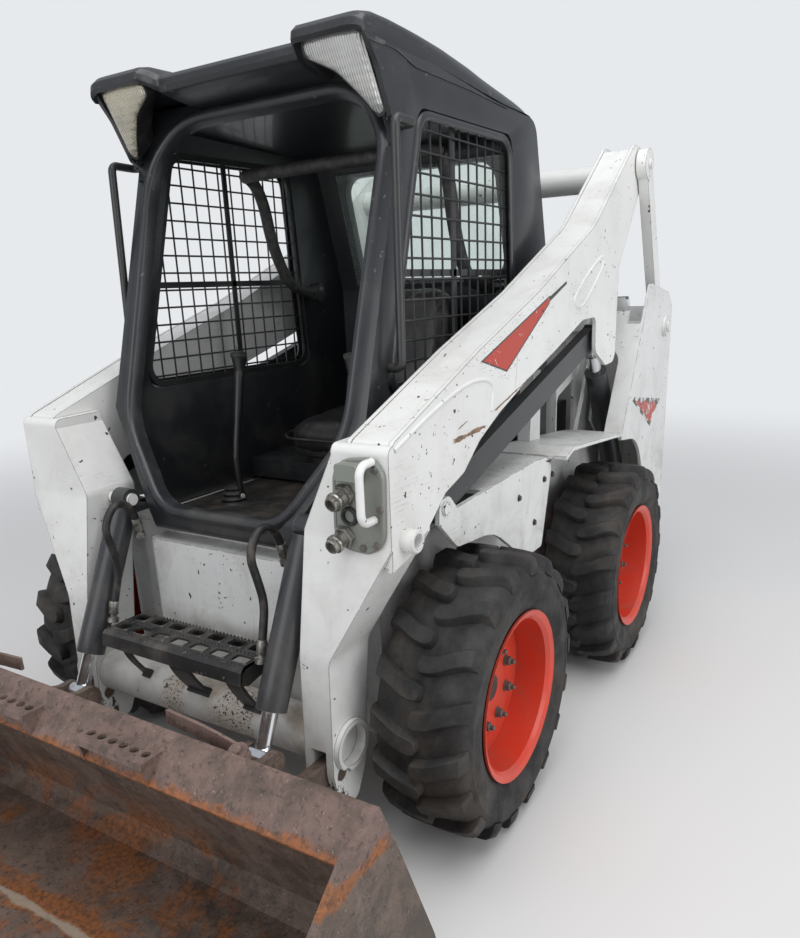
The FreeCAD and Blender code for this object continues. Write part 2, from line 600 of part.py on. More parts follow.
# Cab: a sheet-steel protective frame, open in front and below, tipping back on two pins.
def cab_shell():
    front = AXLE["front"]
    outer = from_axle("front", [(-60, 1905), (205, 1035, 60), (262, 850, 50), (262, size.cab_sill, 20),
                                (-975, size.cab_sill, 20), (-975, 1400, 40), (-842, 1886, 60)])
    inner = from_axle("front", [(-98, 1870, 20), (168, 1030, 40), (226, 850, 30), (226, 700), (-941, 700),
                                (-941, 1400, 30), (-815, 1850, 40)])
    half = size.cab_half_width
    bevel = [(184, half, 1100), (40, half + 5, 740), (300, half - 250, 740)]
    solid = pad("cab_outside", "side", outer, "-cab_half_width", "cab_half_width")
    hollow = pad("cab_inside", "side", inner, "cab_wall - cab_half_width", "cab_half_width - cab_wall")
    slabs = {}
    for depth in (0, 30):
        for side, sign in SIDES:
            corners = [(front + x - depth, sign * (y - depth * 0.6), z) for x, y, z in bevel]
            slabs[depth, side] = slab("cab_bevel_%d_%s" % (depth, side), corners, Vector(1, sign, 0))
    body = cut("cab_bevelled", solid, [slabs[0, side] for side, sign in SIDES])
    void = cut("cab_void", hollow, [slabs[30, side] for side, sign in SIDES])
    doorway = pad("doorway", "front", [(half - 68, 1790, 90), (half - 68, 1075, 60), (half - 250, 862, 60),
                                       (250 - half, 862, 60), (68 - half, 1075, 60), (68 - half, 1790, 90)], "front_axle_x - 320", "front_axle_x + 300")
    window = from_axle("front", [(-110, 1812, 40), (92, 1140, 40), (-700, 1140, 40), (-660, 1821, 40)])
    windows = pad("side_windows", "side", window, "-(cab_half_width + 20)", "cab_half_width + 20")
    back = pad("back_window", "front", [(half - 140, 1430, 60), (half - 140, 1790, 60), (140 - half, 1790, 60),
                                           (140 - half, 1430, 60)],
               "front_axle_x - 1000", "front_axle_x - 780")
    shell = cut("cab_walls", body, [void, doorway, windows, back])
    pan = [(front - 942, 850), (front - 330, 850), (front - 330, 784), (front - 342, 784), (front - 342, 838),
           (front - 942, 838)]
    pieces = [shell, pad("seat_pan", "side", pan, "1 + cab_wall - cab_half_width",
                         "cab_half_width - cab_wall - 1")]
    hinge = pivot["cab_hinge"]
    ear = [(front - 970, hinge.z - 50), (front - 970, hinge.z + 40), (hinge.x - 8, hinge.z + 26, 20),
           (hinge.x - 26, hinge.z, 16), (hinge.x - 10, hinge.z - 26, 20)]
    bar = pivot["bar_hinge"]
    tools = []
    for side, sign in SIDES:
        pieces.append(pad("cab_ear_" + side, "side", ear, *sided(sign, "cab_half_width - 61", "cab_half_width - 49")))
        tools.append(across("cab_ear_bore_" + side, hinge, sign, "cab_half_width - 70", "cab_half_width - 40",
                            "small_pin_radius + running_gap"))
        pieces.append(across("bar_pin_" + side, bar, sign, "cab_half_width - 115", "cab_half_width - cab_wall + 2",
                             "small_pin_radius"))
    whole = fuse("cab_whole", pieces)
    node("cab_shell", cut("cab_shell", whole, tools))


cab_shell()


# Roof: a cap with raised corners over the cab, and the two lamps under its front lip.
def cab_roof():
    gap = size.gap
    side = from_axle("front", [(127, 1949), (60, 1962, 20), (-250, 1976, 200), (-820, 1918, 60), (-848, 1892),
                               (-842, 1886 + gap), (-60, 1905 + gap), (20, 1908), (127, 1934)])
    half = size.cab_half_width
    long = pad("roof_side", "side", side, "-cab_half_width", "cab_half_width")
    wide = pad("roof_front", "front", [(-half, 1700), (-half, 1962, 60), (60 - half, 1980, 60), (half - 60, 1980, 60),
                                       (half, 1962, 60), (half, 1700)], "front_axle_x - 900", "front_axle_x + 200")
    node("cab_roof", common("cab_roof", long, wide))
    for side_name, sign in SIDES:
        lens = [(half - 182, 1906), (half - 20, 1930), (half - 15, 1800), (half - 33, 1778)]
        face = pad("lamp_face_" + side_name, "front", [(sign * y, z) for y, z in lens][::sign],
                   "front_axle_x - 62", "front_axle_x + 120")
        depth = from_axle("front", [(-59.6, 1905), (20, 1907.7), (95, 1925.8), (14, 1778), (-20.9, 1778)])
        body = pad("lamp_depth_" + side_name, "side", depth, *sided(sign, "cab_half_width - 190", "cab_half_width - 10"))
        node("work_lamp_" + side_name, common("work_lamp_" + side_name, face, body))


cab_roof()


# Screens: a welded wire grid in a frame, set into each side window.
def side_screen(side, sign):
    name = "side_screen_" + side
    half = size.cab_half_width
    edge = from_axle("front", [(-110.3, 1811.5, 40), (91.4, 1140.5, 40), (-699.4, 1140.5, 40), (-659.6, 1820.4, 40)])
    inside = from_axle("front", [(-124, 1794, 28), (66, 1158, 28), (-680, 1158, 28), (-642, 1802, 28)])
    ring = pad(name + "_ring", "side", [edge, inside], *sided(sign, "cab_half_width - 28", "cab_half_width - 21"))
    wires = []
    pitch = size.screen_pitch
    wire = size.screen_wire
    across_count = int(820 / pitch) + 1
    for i in range(across_count):
        x = AXLE["front"] - 705 + i * pitch
        wires.append(box("%s_upright_%d" % (name, i), (x, x + wire), sided_range(sign, half - 22, half - 17.6), (1130, 1830)))
    for i in range(int(690 / pitch) + 1):
        z = 1145 + i * pitch
        wires.append(box("%s_level_%d" % (name, i), (AXLE["front"] - 720, AXLE["front"] + 110),
                         sided_range(sign, half - 18, half - 13.6), (z, z + wire)))
    grid = fuse(name + "_grid", wires)
    trim = pad(name + "_trim", "side", edge, *sided(sign, "cab_half_width - 30", "cab_half_width - 10"))
    kept = common(name + "_kept", grid, trim)
    node(name, fuse(name, [ring, kept]))


for side, sign in SIDES:
    side_screen(side, sign)


# Cab fittings: the rear pane, the seat, the seat bar and the grab handles.
def cab_fittings():
    front = AXLE["front"]
    gap = size.gap
    line = from_axle("front", [(-935.6, 1418), (-828.1, 1802)])
    pane = pad("rear_window_strip", "side", folded_sheet(line[::-1], 6), "-(cab_half_width - 115)",
               "cab_half_width - 115")
    node("rear_window", pane)
    cushion = from_axle("front", [(-245, 880, 40), (-245, 985, 40), (-640, 965, 60), (-735, 1425, 40),
                                  (-815, 1425, 40), (-760, 880, 40)])
    base = from_axle("front", [(-640, 850 + gap), (-360, 850 + gap), (-330, 882), (-660, 882)])
    node("seat", fuse("seat", [pad("seat_pad", "side", cushion, "-235", "235"),
                               pad("seat_base", "side", base, "-190", "190")]))
    hinge = pivot["bar_hinge"]
    elbow = (front - 330, 1755)
    reach = size.cab_half_width - 95
    left, right = [Vector(elbow[0], sign * reach, elbow[1]) for side, sign in SIDES]
    pieces = [between("seat_bar_cross", left, right, "seat_bar_radius")]
    for side, corner in (("left", left), ("right", right)):
        bend = doc.addObject("Part::Sphere", "seat_bar_bend_" + side)
        bend.setExpression("Radius", "sizes.seat_bar_radius + 1")
        bend.Placement.Base = corner
        pieces += [bend, between("seat_bar_arm_" + side, Vector(hinge.x, corner.y, hinge.z), corner, "seat_bar_radius")]
    tools = []
    for side, sign in SIDES:
        pieces.append(across("seat_bar_eye_" + side, hinge, sign, "cab_half_width - 113", "cab_half_width - 77", "30"))
        tools.append(across("seat_bar_bore_" + side, hinge, sign, "cab_half_width - 120", "cab_half_width - 70",
                            "small_pin_radius + running_gap"))
    node("seat_bar", cut("seat_bar", fuse("seat_bar_whole", pieces), tools))
    handles = []
    for side, sign in SIDES:
        name = "grab_handle_" + side
        wall = size.cab_half_width + gap
        points = [(front - 28, sign * wall, 1762), (front - 28, sign * (wall + 31.7), 1762),
                  (front + 55, sign * (wall + 31.7), 1764), (front + 72, sign * (wall + 35.7), 1218),
                  (front + 72, sign * wall, 1218)]
        handles.append(tube_path(name, points, 11, 18))
    node("grab_handles", fuse("grab_handles", handles))


cab_fittings()


# Boom: two box arms from the rear links over the cab's sides down to the bucket, tied by two tubes.
def boom_arm(side, sign):
    name = "boom_arm_" + side
    front = AXLE["front"]
    outline = from_axle("front", [
        (352, 1094, 25), (-64, 1250, 300), (-449, 1379, 300), (-923, 1571, 300), (-1330, 1856, 45), (-1450, 1850, 50),
        (-1448, 1745, 50), (-1200, 1445, 40), (-1196, 1300, 80), (-1195, 1118, 45), (-1085, 1112, 40),
        (-960, 1170, 45), (-955, 1285, 25), (-824, 1281, 60), (-584, 1207, 300), (-383, 1149, 300), (-181, 1081, 200),
        (-60, 1029, 100), (30, 965, 60), (125, 938, 20), (215, 872, 20), (300, 830), (369, 818)])
    core = from_axle("front", [
        (351, 1092, 25), (-64, 1249, 300), (-449, 1378, 300), (-923, 1570, 300), (-1318, 1844, 45), (-1360, 1838, 20),
        (-1385, 1700, 20), (-1190, 1445, 40), (-1186, 1345, 20), (-900, 1345, 20), (-820, 1290, 40), (-584, 1215, 300),
        (-383, 1157, 300), (-181, 1089, 200), (-20, 1030, 60), (100, 990, 40), (215, 960, 30), (300, 840), (368, 826)])
    spans = [("arm_inner", "arm_inner + arm_plate"), ("arm_outer - arm_plate", "arm_outer")]
    pieces = plates(name + "_plate", outline, sign, spans)
    pieces.append(pad(name + "_core", "side", core, *sided(sign, "arm_inner + 1", "arm_outer - 1")))
    leg_side = from_axle("front", [
        (368, 1090, 20), (369, 880, 100), (421, 592, 200), (432, 300, 80), (412, 190, 28), (338, 190, 28), (298, 270, 40),
        (282, 420, 60), (245, 690, 100), (205, 872, 30), (215, 1094)])
    near, away, edge = size.leg_inner, size.leg_outer, size.arm_outer
    leg_front = [(near, 187), (away, 187), (away, 592, 60), (edge, 868), (edge, 1094), (away + 5, 1094),
                 (away + 5, 1067), (near, 887, 40)]
    long = pad(name + "_leg_side", "side", leg_side, *sided(sign, "leg_inner - 12", "arm_outer + 3"))
    wide = pad(name + "_leg_front", "front", [(sign * y, z) + tuple(rest) for y, z, *rest in leg_front][::sign],
               "front_axle_x + 190", "front_axle_x + 450")
    pieces.append(common(name + "_leg", long, wide))
    pins = [("control_pin", "control_rear", "arm_inner + 5", "arm_outer - 5", "small_pin_radius"),
            ("tilt_pin", "tilt_upper", "tilt_pin_inner", "leg_inner + 20", "small_pin_radius")]
    for title, centre, low, high, radius in pins:
        pieces.append(across(name + "_" + title, pivot[centre], sign, low, high, radius))
    pieces.append(across(name + "_ring", pivot["torque_tube"], sign, "leg_outer - 6", "leg_outer + 14", "64"))
    foot = pivot["bucket_pivot"]
    fork = box(name + "_fork", (foot.x - 38, foot.x + 80), sided_range(sign, near + 21, away - 21), (foot.z - 140, foot.z + 68))
    tools = [across(name + "_ring_bore", pivot["torque_tube"], sign, "leg_outer - 14", "leg_outer + 30", "50"), fork,
             across(name + "_foot_bore", foot, sign, "leg_inner - 10", "leg_outer + 20",
                    "small_pin_radius + running_gap")]
    whole = fuse(name + "_whole", pieces)
    node(name, cut(name, whole, tools))


for side, sign in SIDES:
    boom_arm(side, sign)


def boom_ties():
    front = AXLE["front"]
    cross = doc.addObject("Part::Cylinder", "boom_cross_tube")
    cross.setExpression("Radius", "sizes.cross_tube_radius")
    cross.setExpression("Height", "2 * (sizes.arm_inner - sizes.gap)")
    cross.Placement = Placement(Vector(pivot["cross_tube"].x, size.gap - size.arm_inner, pivot["cross_tube"].z),
                                Rotation(Vector(1, 0, 0), -90))
    node("boom_cross_tube", cross)
    low = pivot["torque_tube"]
    tube = across("torque_tube_outside", low, 1, "0", "2 * (leg_inner - gap)", "torque_tube_radius")
    bore = across("torque_tube_bore", low, 1, "0", "2 * leg_inner + 20", "torque_tube_radius - torque_tube_wall")
    for piece, start in ((tube, size.gap - size.leg_inner), (bore, -size.leg_inner - 10)):
        piece.Placement.Base.y = start
    node("torque_tube", cut("torque_tube", tube, [bore]))
    bracket = from_axle("front", [(345, 548), (470, 548), (452, 455, 10), (428, 388), (402, 396), (372, 402), (345, 404)])
    seat_radius = size.torque_tube_radius + size.gap
    half = size.step_half_width
    plate = [(front + 345, 553), (front + 478, 553, 3), (front + 489, 512), (front + 483, 511), (front + 472, 547, 3),
             (front + 345, 547)]
    tread = pad("step_plate", "side", plate, "-step_half_width", "step_half_width")
    holes = []
    for row, ahead in enumerate((362, 421)):
        for i in range(6):
            left = (i - 3) * half / 3 + 14
            holes.append(box("step_hole_%d_%d" % (row, i), (front + ahead, front + ahead + 38), (left, left + half / 3 - 28),
                             (530, 570)))
    pieces = [cut("step_tread", tread, holes)]
    for i, middle in enumerate((70 - half, 0, half - 70)):
        pieces.append(pad("step_bracket_%d" % i, "side", bracket, "%d - 5" % middle, "%d + 5" % middle))
    clear = across("step_clear", low, 1, "0", "700", "torque_tube_radius + gap")
    clear.Placement.Base.y = -350
    node("boom_step", cut("boom_step", fuse("boom_step_whole", pieces), [clear]))
    face = size.arm_outer
    block = box("coupler_plate", (front + 369.3, front + 381), (face - 147, face - 17), (925, 1075))
    hexes = []
    for z, r in ((1030, 24), (965, 24)):
        stub = doc.addObject("Part::Cylinder", "coupler_%d" % z)
        stub.Radius = r
        stub.Height = 60
        stub.Placement = Placement(Vector(front + 380, face - 107, z), Rotation(Vector(0, 1, 0), 90))
        hexes.append(stub)
    node("coupler_block", fuse("coupler_block", [block] + hexes))
    grip = face - 32
    path = [(front + 381.3, grip, 1062), (front + 430, grip, 1062), (front + 430, grip, 938),
            (front + 381.3, grip, 938)]
    node("boom_handle", tube_path("boom_handle", path, 9, 24))


boom_ties()


# Links: the straight control links below the arms, and the tall rear links.
def links(side, sign):
    name = "control_link_" + side
    pieces = link_bar(name, pivot["control_front"], pivot["control_rear"], "control_depth", "control_eye", sign,
                      "control_inner", "control_outer")
    tools = [across("%s_bore_%d" % (name, i), centre, sign, "control_inner - 5", "control_outer + 5",
                    "small_pin_radius + running_gap")
             for i, centre in enumerate((pivot["control_front"], pivot["control_rear"]))]
    node(name, cut(name, fuse(name + "_whole", pieces), tools))
    name = "rear_link_" + side
    pieces = link_bar(name, pivot["link_lower"], pivot["link_upper"], "link_depth", "link_eye", sign,
                      "link_inner", "link_outer")
    pieces.append(across(name + "_pin", pivot["link_upper"], sign, "arm_outer + gap", "link_outer + 10",
                         "small_pin_radius"))
    tools = [across(name + "_low_bore", pivot["link_lower"], sign, "link_inner - 5", "link_outer + 5",
                    "large_pin_radius + running_gap")]
    node(name, cut(name, fuse(name + "_whole", pieces), tools))


for side, sign in SIDES:
    links(side, sign)


# Cylinders: name, base pivot, rod pivot, middle, eye width, barrel radius, rod radius, barrel length, eye radius
CYLINDERS = [
    ("lift", "lift_base", "lift_lug", "lift_cylinder_y", "lift_eye_width", "lift_barrel_radius", "lift_rod_radius",
     "lift_barrel_length", 36),
    ("tilt", "tilt_upper", "tilt_eye", "tilt_cylinder_y", "tilt_eye_width", "tilt_barrel_radius", "tilt_rod_radius",
     "tilt_barrel_length", 30),
]


def cylinder(side, sign, row):
    title, base_name, rod_name, middle, width, barrel_radius, rod_radius, length, eye = row
    base = Vector(pivot[base_name].x, sign * worth(middle), pivot[base_name].z)
    end = Vector(pivot[rod_name].x, sign * worth(middle), pivot[rod_name].z)
    line = (end - base).normalize()
    long = getattr(size, length)
    low, high = "%s - %g" % (middle, getattr(size, width) / 2), "%s + %g" % (middle, getattr(size, width) / 2)
    name = "%s_barrel_%s" % (title, side)
    tube = between(name + "_tube", base + line * 24, base + line * long, barrel_radius)
    outside = fuse(name + "_outside", [tube, across(name + "_eye", base, sign, low, high, "%g" % eye)])
    bore = between(name + "_bore", base + line * 46, base + line * (long - size.gland_length),
                   barrel_radius + " - barrel_wall")
    gland = between(name + "_gland_bore", base + line * (long - size.gland_length - 1), base + line * (long + 1),
                    rod_radius + " + running_gap")
    hole = across(name + "_pin_bore", base, sign, low + " - 5", high + " + 5", "small_pin_radius + running_gap")
    node(name, cut(name, outside, [bore, gland, hole]))
    name = "%s_rod_%s" % (title, side)
    start = {"lift": 60.0, "tilt": 120.0}[title]
    pin_low, pin_high = {"lift": ("arm_inner + arm_plate + 1", "arm_outer - arm_plate - 1"),
                         "tilt": (low + " - 1", high + " + 1")}[title]
    shaft = between(name + "_shaft", base + line * start, end - line * (eye - 6), rod_radius)
    pin = across(name + "_pin", end, sign, pin_low, pin_high, "small_pin_radius")
    node(name, fuse(name, [shaft, pin, across(name + "_eye", end, sign, low, high, "%g" % eye)]))


for row in CYLINDERS:
    for side, sign in SIDES:
        cylinder(side, sign, row)


# Bucket and its quick attachment plate.
def quick_attach():
    thick = size.attach_plate
    back = [(719, 478), (587, 148)]
    line = from_axle("front", [(back[0][0] - 0.6, back[0][1] - 0.2), (back[1][0] - 0.6, back[1][1] + 0.2)])
    pieces = [pad("attach_plate", "side", folded_sheet(line[::-1], thick), "-attach_half_width", "attach_half_width")]
    ear = from_axle("front", [(494, 340, 26), (500, 392, 30), (560, 392, 40), (697, 440), (626, 262)])
    lug = from_axle("front", [(370, 260, 28), (370, 320, 28), (430, 320, 40), (654, 330), (604, 204), (430, 260, 40)])
    for side, sign in SIDES:
        pieces += plates("attach_ear_" + side, ear, sign, [("tilt_cylinder_y - 48", "tilt_cylinder_y - 28"),
                                                            ("tilt_cylinder_y + 28", "tilt_cylinder_y + 48")])
        pieces += plates("attach_lug_" + side, lug, sign, [("leg_inner + 25", "leg_outer - 25")])
        pieces.append(across("attach_pin_" + side, pivot["bucket_pivot"], sign, "leg_inner + 2", "leg_outer", "small_pin_radius"))
        for i, (low, high) in enumerate((("tilt_cylinder_y - 56", "tilt_cylinder_y - 27"),
                                         ("tilt_cylinder_y + 27", "tilt_cylinder_y + 56"))):
            pieces.append(across("tilt_eye_pin_%s_%d" % (side, i), pivot["tilt_eye"], sign, low, high,
                                 "small_pin_radius"))
    node("quick_attach", fuse("quick_attach", pieces))
    sheet_path = from_axle("front", [(752, 552), (719, 478), (587, 148), (562, 62), (575, 20), (612, 2), (1210, 2)])
    shell = pad("bucket_sheet", "side", folded_sheet(sheet_path, size.bucket_sheet), "-bucket_half_width",
                "bucket_half_width")
    cheek = from_axle("front", [(752, 552, 6), (858, 535, 40), (949, 457, 60), (1385, 21), (1385, 2), (612, 2, 20),
                                (566, 40, 20), (587, 148), (719, 478)])
    pieces = [shell]
    for side, sign in SIDES:
        pieces += plates("bucket_cheek_" + side, cheek, sign, [("bucket_half_width - bucket_side", "bucket_half_width")])
    lip = from_axle("front", [(1180, 2), (1390, 2), (1356, 21), (1180, 21)])
    pieces.append(pad("cutting_edge", "side", lip, "-bucket_half_width", "bucket_half_width"))
    rim = from_axle("front", [(730, 480), (757, 566, 5), (775, 563, 8), (838, 487, 4), (830, 476), (740, 474)])
    pieces.append(pad("bucket_rim", "side", rim, "-bucket_half_width", "bucket_half_width"))
    tread = from_axle("front", [(780, 541), (848, 541), (851, 528), (843, 528), (841, 534), (784, 534)])
    gusset = from_axle("front", [(782, 536), (846, 536), (836, 482), (824, 478)])
    for i, start in enumerate((123, -255)):
        wide = size.bucket_step_width
        plate = pad("bucket_step_%d" % i, "side", tread, "%d" % start, "%d + bucket_step_width" % start)
        holes = []
        for j in range(6):
            hole = doc.addObject("Part::Cylinder", "bucket_step_hole_%d_%d" % (i, j))
            hole.Radius = 10
            hole.Height = 20
            hole.Placement.Base = Vector(AXLE["front"] + 818, start + wide * (j + 0.6) / 6.2, 527)
            holes.append(hole)
        pieces.append(cut("bucket_step_open_%d" % i, plate, holes))
        for edge, side_start in (("near", "0"), ("far", "bucket_step_width - 8")):
            pieces.append(pad("bucket_step_%s_%d" % (edge, i), "side", gusset, "%d + %s" % (start, side_start),
                              "%d + %s + 8" % (start, side_start)))
    node("bucket", fuse("bucket", pieces))


quick_attach()


def report_and_export():
    """Checks every object, then writes one file for each sub-part."""
    doc.recompute()
    for item in doc.Objects:
        if "Invalid" in item.State or "Error" in item.State:
            raise RuntimeError("%s did not build: %s" % (item.Name, item.State))
    os.makedirs("parts", exist_ok=True)
    for label, feature in nodes.items():
        shape = feature.Shape
        if shape.isNull() or not shape.isValid():
            raise RuntimeError(label + " has no valid shape")
        bounds = shape.BoundBox
        print("%-22s solids %d volume %.4f l  x %.0f..%.0f y %.0f..%.0f z %.0f..%.0f" % (
            label, len(shape.Solids), shape.Volume / 1e6, bounds.XMin, bounds.XMax,
            bounds.YMin, bounds.YMax, bounds.ZMin, bounds.ZMax))
        shape.exportStep("parts/%s.step" % label)


report_and_export()
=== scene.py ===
"""Skid steer loader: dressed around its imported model. Metres, +X forward, +Y left, +Z up."""
import math

import bmesh
import bpy
import numpy as np
from mathutils import Matrix, Vector


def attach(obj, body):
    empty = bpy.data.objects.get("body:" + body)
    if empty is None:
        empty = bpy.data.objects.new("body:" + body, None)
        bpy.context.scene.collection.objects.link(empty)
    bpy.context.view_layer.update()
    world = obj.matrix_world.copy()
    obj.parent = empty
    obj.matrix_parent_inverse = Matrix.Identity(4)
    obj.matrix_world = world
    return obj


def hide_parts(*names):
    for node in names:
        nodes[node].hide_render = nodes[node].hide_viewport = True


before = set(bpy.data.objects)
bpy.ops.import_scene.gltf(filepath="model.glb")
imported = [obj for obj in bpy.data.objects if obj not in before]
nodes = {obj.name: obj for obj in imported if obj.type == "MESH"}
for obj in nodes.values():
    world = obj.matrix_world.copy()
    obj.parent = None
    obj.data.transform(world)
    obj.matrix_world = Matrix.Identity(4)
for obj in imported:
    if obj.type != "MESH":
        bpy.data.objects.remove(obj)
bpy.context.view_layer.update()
scene = bpy.context.scene

# Camera: where the photographer stood, ahead of the left front wheel and a little above the seat.
# It holds the fitted place, direction and lens, and the shift that the photograph's framing needs.
camera_place = Vector((1.969, 1.450, 1.399))
yaw, pitch, roll = (math.radians(a) for a in (32.05, 17.1, -2.29))
ahead = Vector((-math.cos(yaw) * math.cos(pitch), -math.sin(yaw) * math.cos(pitch), -math.sin(pitch)))
level = ahead.cross(Vector((0, 0, 1))).normalized()
above = level.cross(ahead)
right = level * math.cos(roll) + above * math.sin(roll)
top = above * math.cos(roll) - level * math.sin(roll)
camera = bpy.data.objects.new("camera", bpy.data.cameras.new("camera"))
scene.collection.objects.link(camera)
camera.matrix_world = Matrix.Translation(camera_place) @ Matrix((right, top, -ahead)).transposed().to_4x4()
camera.data.lens = 29.41
camera.data.sensor_width = 36.0
camera.data.shift_x = -0.0012
camera.data.shift_y = 0.0597
camera.data.clip_start = 0.05
scene.camera = camera

# Floor and light: a pale floor that runs out into a pale backdrop, a broad lamp over the machine and
# two soft ones from the sides. Beyond a few metres the camera sees the floor as the backdrop's colour.
# The helpers below work on tree, the node tree that is being built.
def join(socket, value):
    """Joins an output to an input, or writes a plain value into it."""
    if isinstance(value, bpy.types.NodeSocket):
        tree.links.new(value, socket)
    else:
        socket.default_value = (*value, 1) if socket.type == "RGBA" and len(value) == 3 else value


def step(kind, *values, **settings):
    """A node whose inputs are given in order; settings are its own properties."""
    node = tree.nodes.new("ShaderNode" + kind)
    for key, value in settings.items():
        setattr(node, key, value)
    for spot, value in enumerate(values):
        if value is not None:
            join(node.inputs[spot], value)
    return node.outputs


def fade(value, low, high, start=0.0, end=1.0):
    """Carries a value from low..high to start..end on a smooth curve held at both ends."""
    return step("MapRange", value, low, high, start, end, interpolation_type="SMOOTHSTEP")[0]


def sums(operation):
    """A function that works out one kind of sum on its values, two by two from the left."""
    def one(*values):
        total = values[0]
        for value in values[1:] or (0.0,):
            total = step("Math", total, value, operation=operation)[0]
        return total
    return one


times, plus, less = sums("MULTIPLY"), sums("ADD"), sums("SUBTRACT")
most, least, unsigned = sums("MAXIMUM"), sums("MINIMUM"), sums("ABSOLUTE")
backdrop = (0.80, 0.82, 0.84, 1)
floor_mesh = bpy.data.meshes.new("floor")
floor_mesh.from_pydata([(-60, -60, 0), (60, -60, 0), (60, 60, 0), (-60, 60, 0)], [], [(0, 1, 2, 3)])
floor = bpy.data.objects.new("floor", floor_mesh)
scene.collection.objects.link(floor)
floor_paint = bpy.data.materials.new("pale floor")
floor_paint.use_nodes = True
tree = floor_paint.node_tree
matt = tree.nodes["Principled BSDF"]
join(matt.inputs["Base Color"], (0.66, 0.65, 0.635))
join(matt.inputs["Roughness"], 0.9)
far_off = fade(step("VectorMath", step("TexCoord")["Object"], operation="LENGTH")["Value"], 2.2, 7.5)
seen = step("LightPath")
far_off = times(far_off, most(seen["Is Camera Ray"], seen["Is Glossy Ray"]))
join(tree.nodes["Material Output"].inputs["Surface"],
     step("MixShader", far_off, matt.outputs[0], step("Emission", backdrop)[0])[0])
floor_mesh.materials.append(floor_paint)
world = bpy.data.worlds.new("studio")
world.use_nodes = True
tree = world.node_tree
sky = tree.nodes["Background"]
join(sky.inputs["Color"], (0.88, 0.92, 1.0))
join(sky.inputs["Strength"], 0.55)
seen = step("LightPath")
join(tree.nodes["World Output"].inputs["Surface"],
     step("MixShader", most(seen["Is Camera Ray"], seen["Is Transmission Ray"]), sky.outputs[0],
          step("Background", backdrop)[0])[0])
scene.world = world
for name, place, aim, power, side in (("over", (1.2, 1.5, 6.0), (0, 0, 0.6), 235, 5.0),
                                      ("left", (0.5, 6.5, 2.6), (0, 0, 0.9), 140, 4.0),
                                      ("front", (6.5, -0.5, 3.0), (0, 0, 0.8), 120, 4.0)):
    lamp = bpy.data.lights.new(name, "AREA")
    lamp.energy = power
    lamp.size = side
    holder = bpy.data.objects.new(name, lamp)
    scene.collection.objects.link(holder)
    aim_line = Vector(aim) - Vector(place)
    holder.matrix_world = Matrix.Translation(place) @ aim_line.to_track_quat("-Z", "Y").to_matrix().to_4x4()
scene.view_settings.view_transform = "Standard"

# Tub and side frames: sheet steel folded and welded, then sprayed white. The paint is chipped to
# dark primer at its edges, scratched where things have rubbed, and under a brown road film low down.
def effect(title, inputs, outputs):
    """A shader node group with named sockets: inputs as (name, kind, default), outputs as (name, kind)."""
    global tree
    tree = group = bpy.data.node_groups.new(title, "ShaderNodeTree")
    for name, kind, default in inputs:
        group.interface.new_socket(name, in_out="INPUT", socket_type="NodeSocket" + kind).default_value = default
    for name, kind in outputs:
        group.interface.new_socket(name, in_out="OUTPUT", socket_type="NodeSocket" + kind)
    return group, group.nodes.new("NodeGroupInput").outputs, group.nodes.new("NodeGroupOutput").inputs


def place_on(scale=None, turn=(0, 0, 0), shift=(0, 0, 0)):
    """Object coordinates, stretched and turned."""
    spot = step("TexCoord")["Object"]
    return spot if scale is None else step("Mapping", spot, shift, turn, scale)[0]


def clouds(spot, scale, detail=4.0, rough=0.6, distortion=0.0):
    """Cloudy noise from nought to one at a scaled place."""
    return step("TexNoise", spot, None, scale, detail, rough, None, None, None, distortion)[0]


def mixed(share, first, second):
    """A colour between two, by a share."""
    node = tree.nodes.new("ShaderNodeMix")
    node.data_type = "RGBA"
    for spot, value in ((0, share), (6, first), (7, second)):
        join(node.inputs[spot], value)
    return node.outputs[2]


edge_wear, given, result = effect("edge wear", [("Radius", "Float", 0.004), ("Amount", "Float", 0.5),
                                                ("Scale", "Float", 30.0)], [("Mask", "Float")])
bend = step("Bevel", given["Radius"], samples=4)[0]
facing = step("VectorMath", bend, step("NewGeometry")["Normal"], operation="DOT_PRODUCT")["Value"]
edge = fade(facing, 0.985, 0.80)
limit = times(less(1.0, given["Amount"]), 0.75)
broken = fade(clouds(place_on(), given["Scale"], 6.0, 0.7), limit, plus(limit, 0.06))
join(result["Mask"], times(edge, broken))

grime, given, result = effect("grime", [("Colour", "Color", (0.8, 0.8, 0.8, 1)),
                                        ("Film", "Color", (0.2, 0.17, 0.13, 1)), ("Amount", "Float", 0.4),
                                        ("Low", "Float", 0.3), ("High", "Float", 1.2)],
                              [("Colour", "Color"), ("Mask", "Float")])
spot = place_on()
height = step("SeparateXYZ", spot)["Z"]
upward = fade(step("SeparateXYZ", step("NewGeometry")["Normal"])["Z"], 0.2, 1.0)
reach = times(fade(height, given["High"], given["Low"]), 0.7)
reach = plus(reach, times(upward, 0.45), 0.25)
film = fade(clouds(spot, 7.0, 8.0, 0.65, 0.6), 0.42, 0.72)
runs = fade(clouds(place_on((9.0, 9.0, 1.1)), 3.0, 6.0, 0.7), 0.5, 0.75)
film = plus(film, times(runs, 0.35))
specks = times(fade(clouds(spot, 60.0, 5.0), 0.60, 0.72), 0.25)
film = times(plus(times(film, reach), specks), given["Amount"])
film = least(film, 0.9)
join(result["Colour"], mixed(film, given["Colour"], given["Film"]))
join(result["Mask"], film)

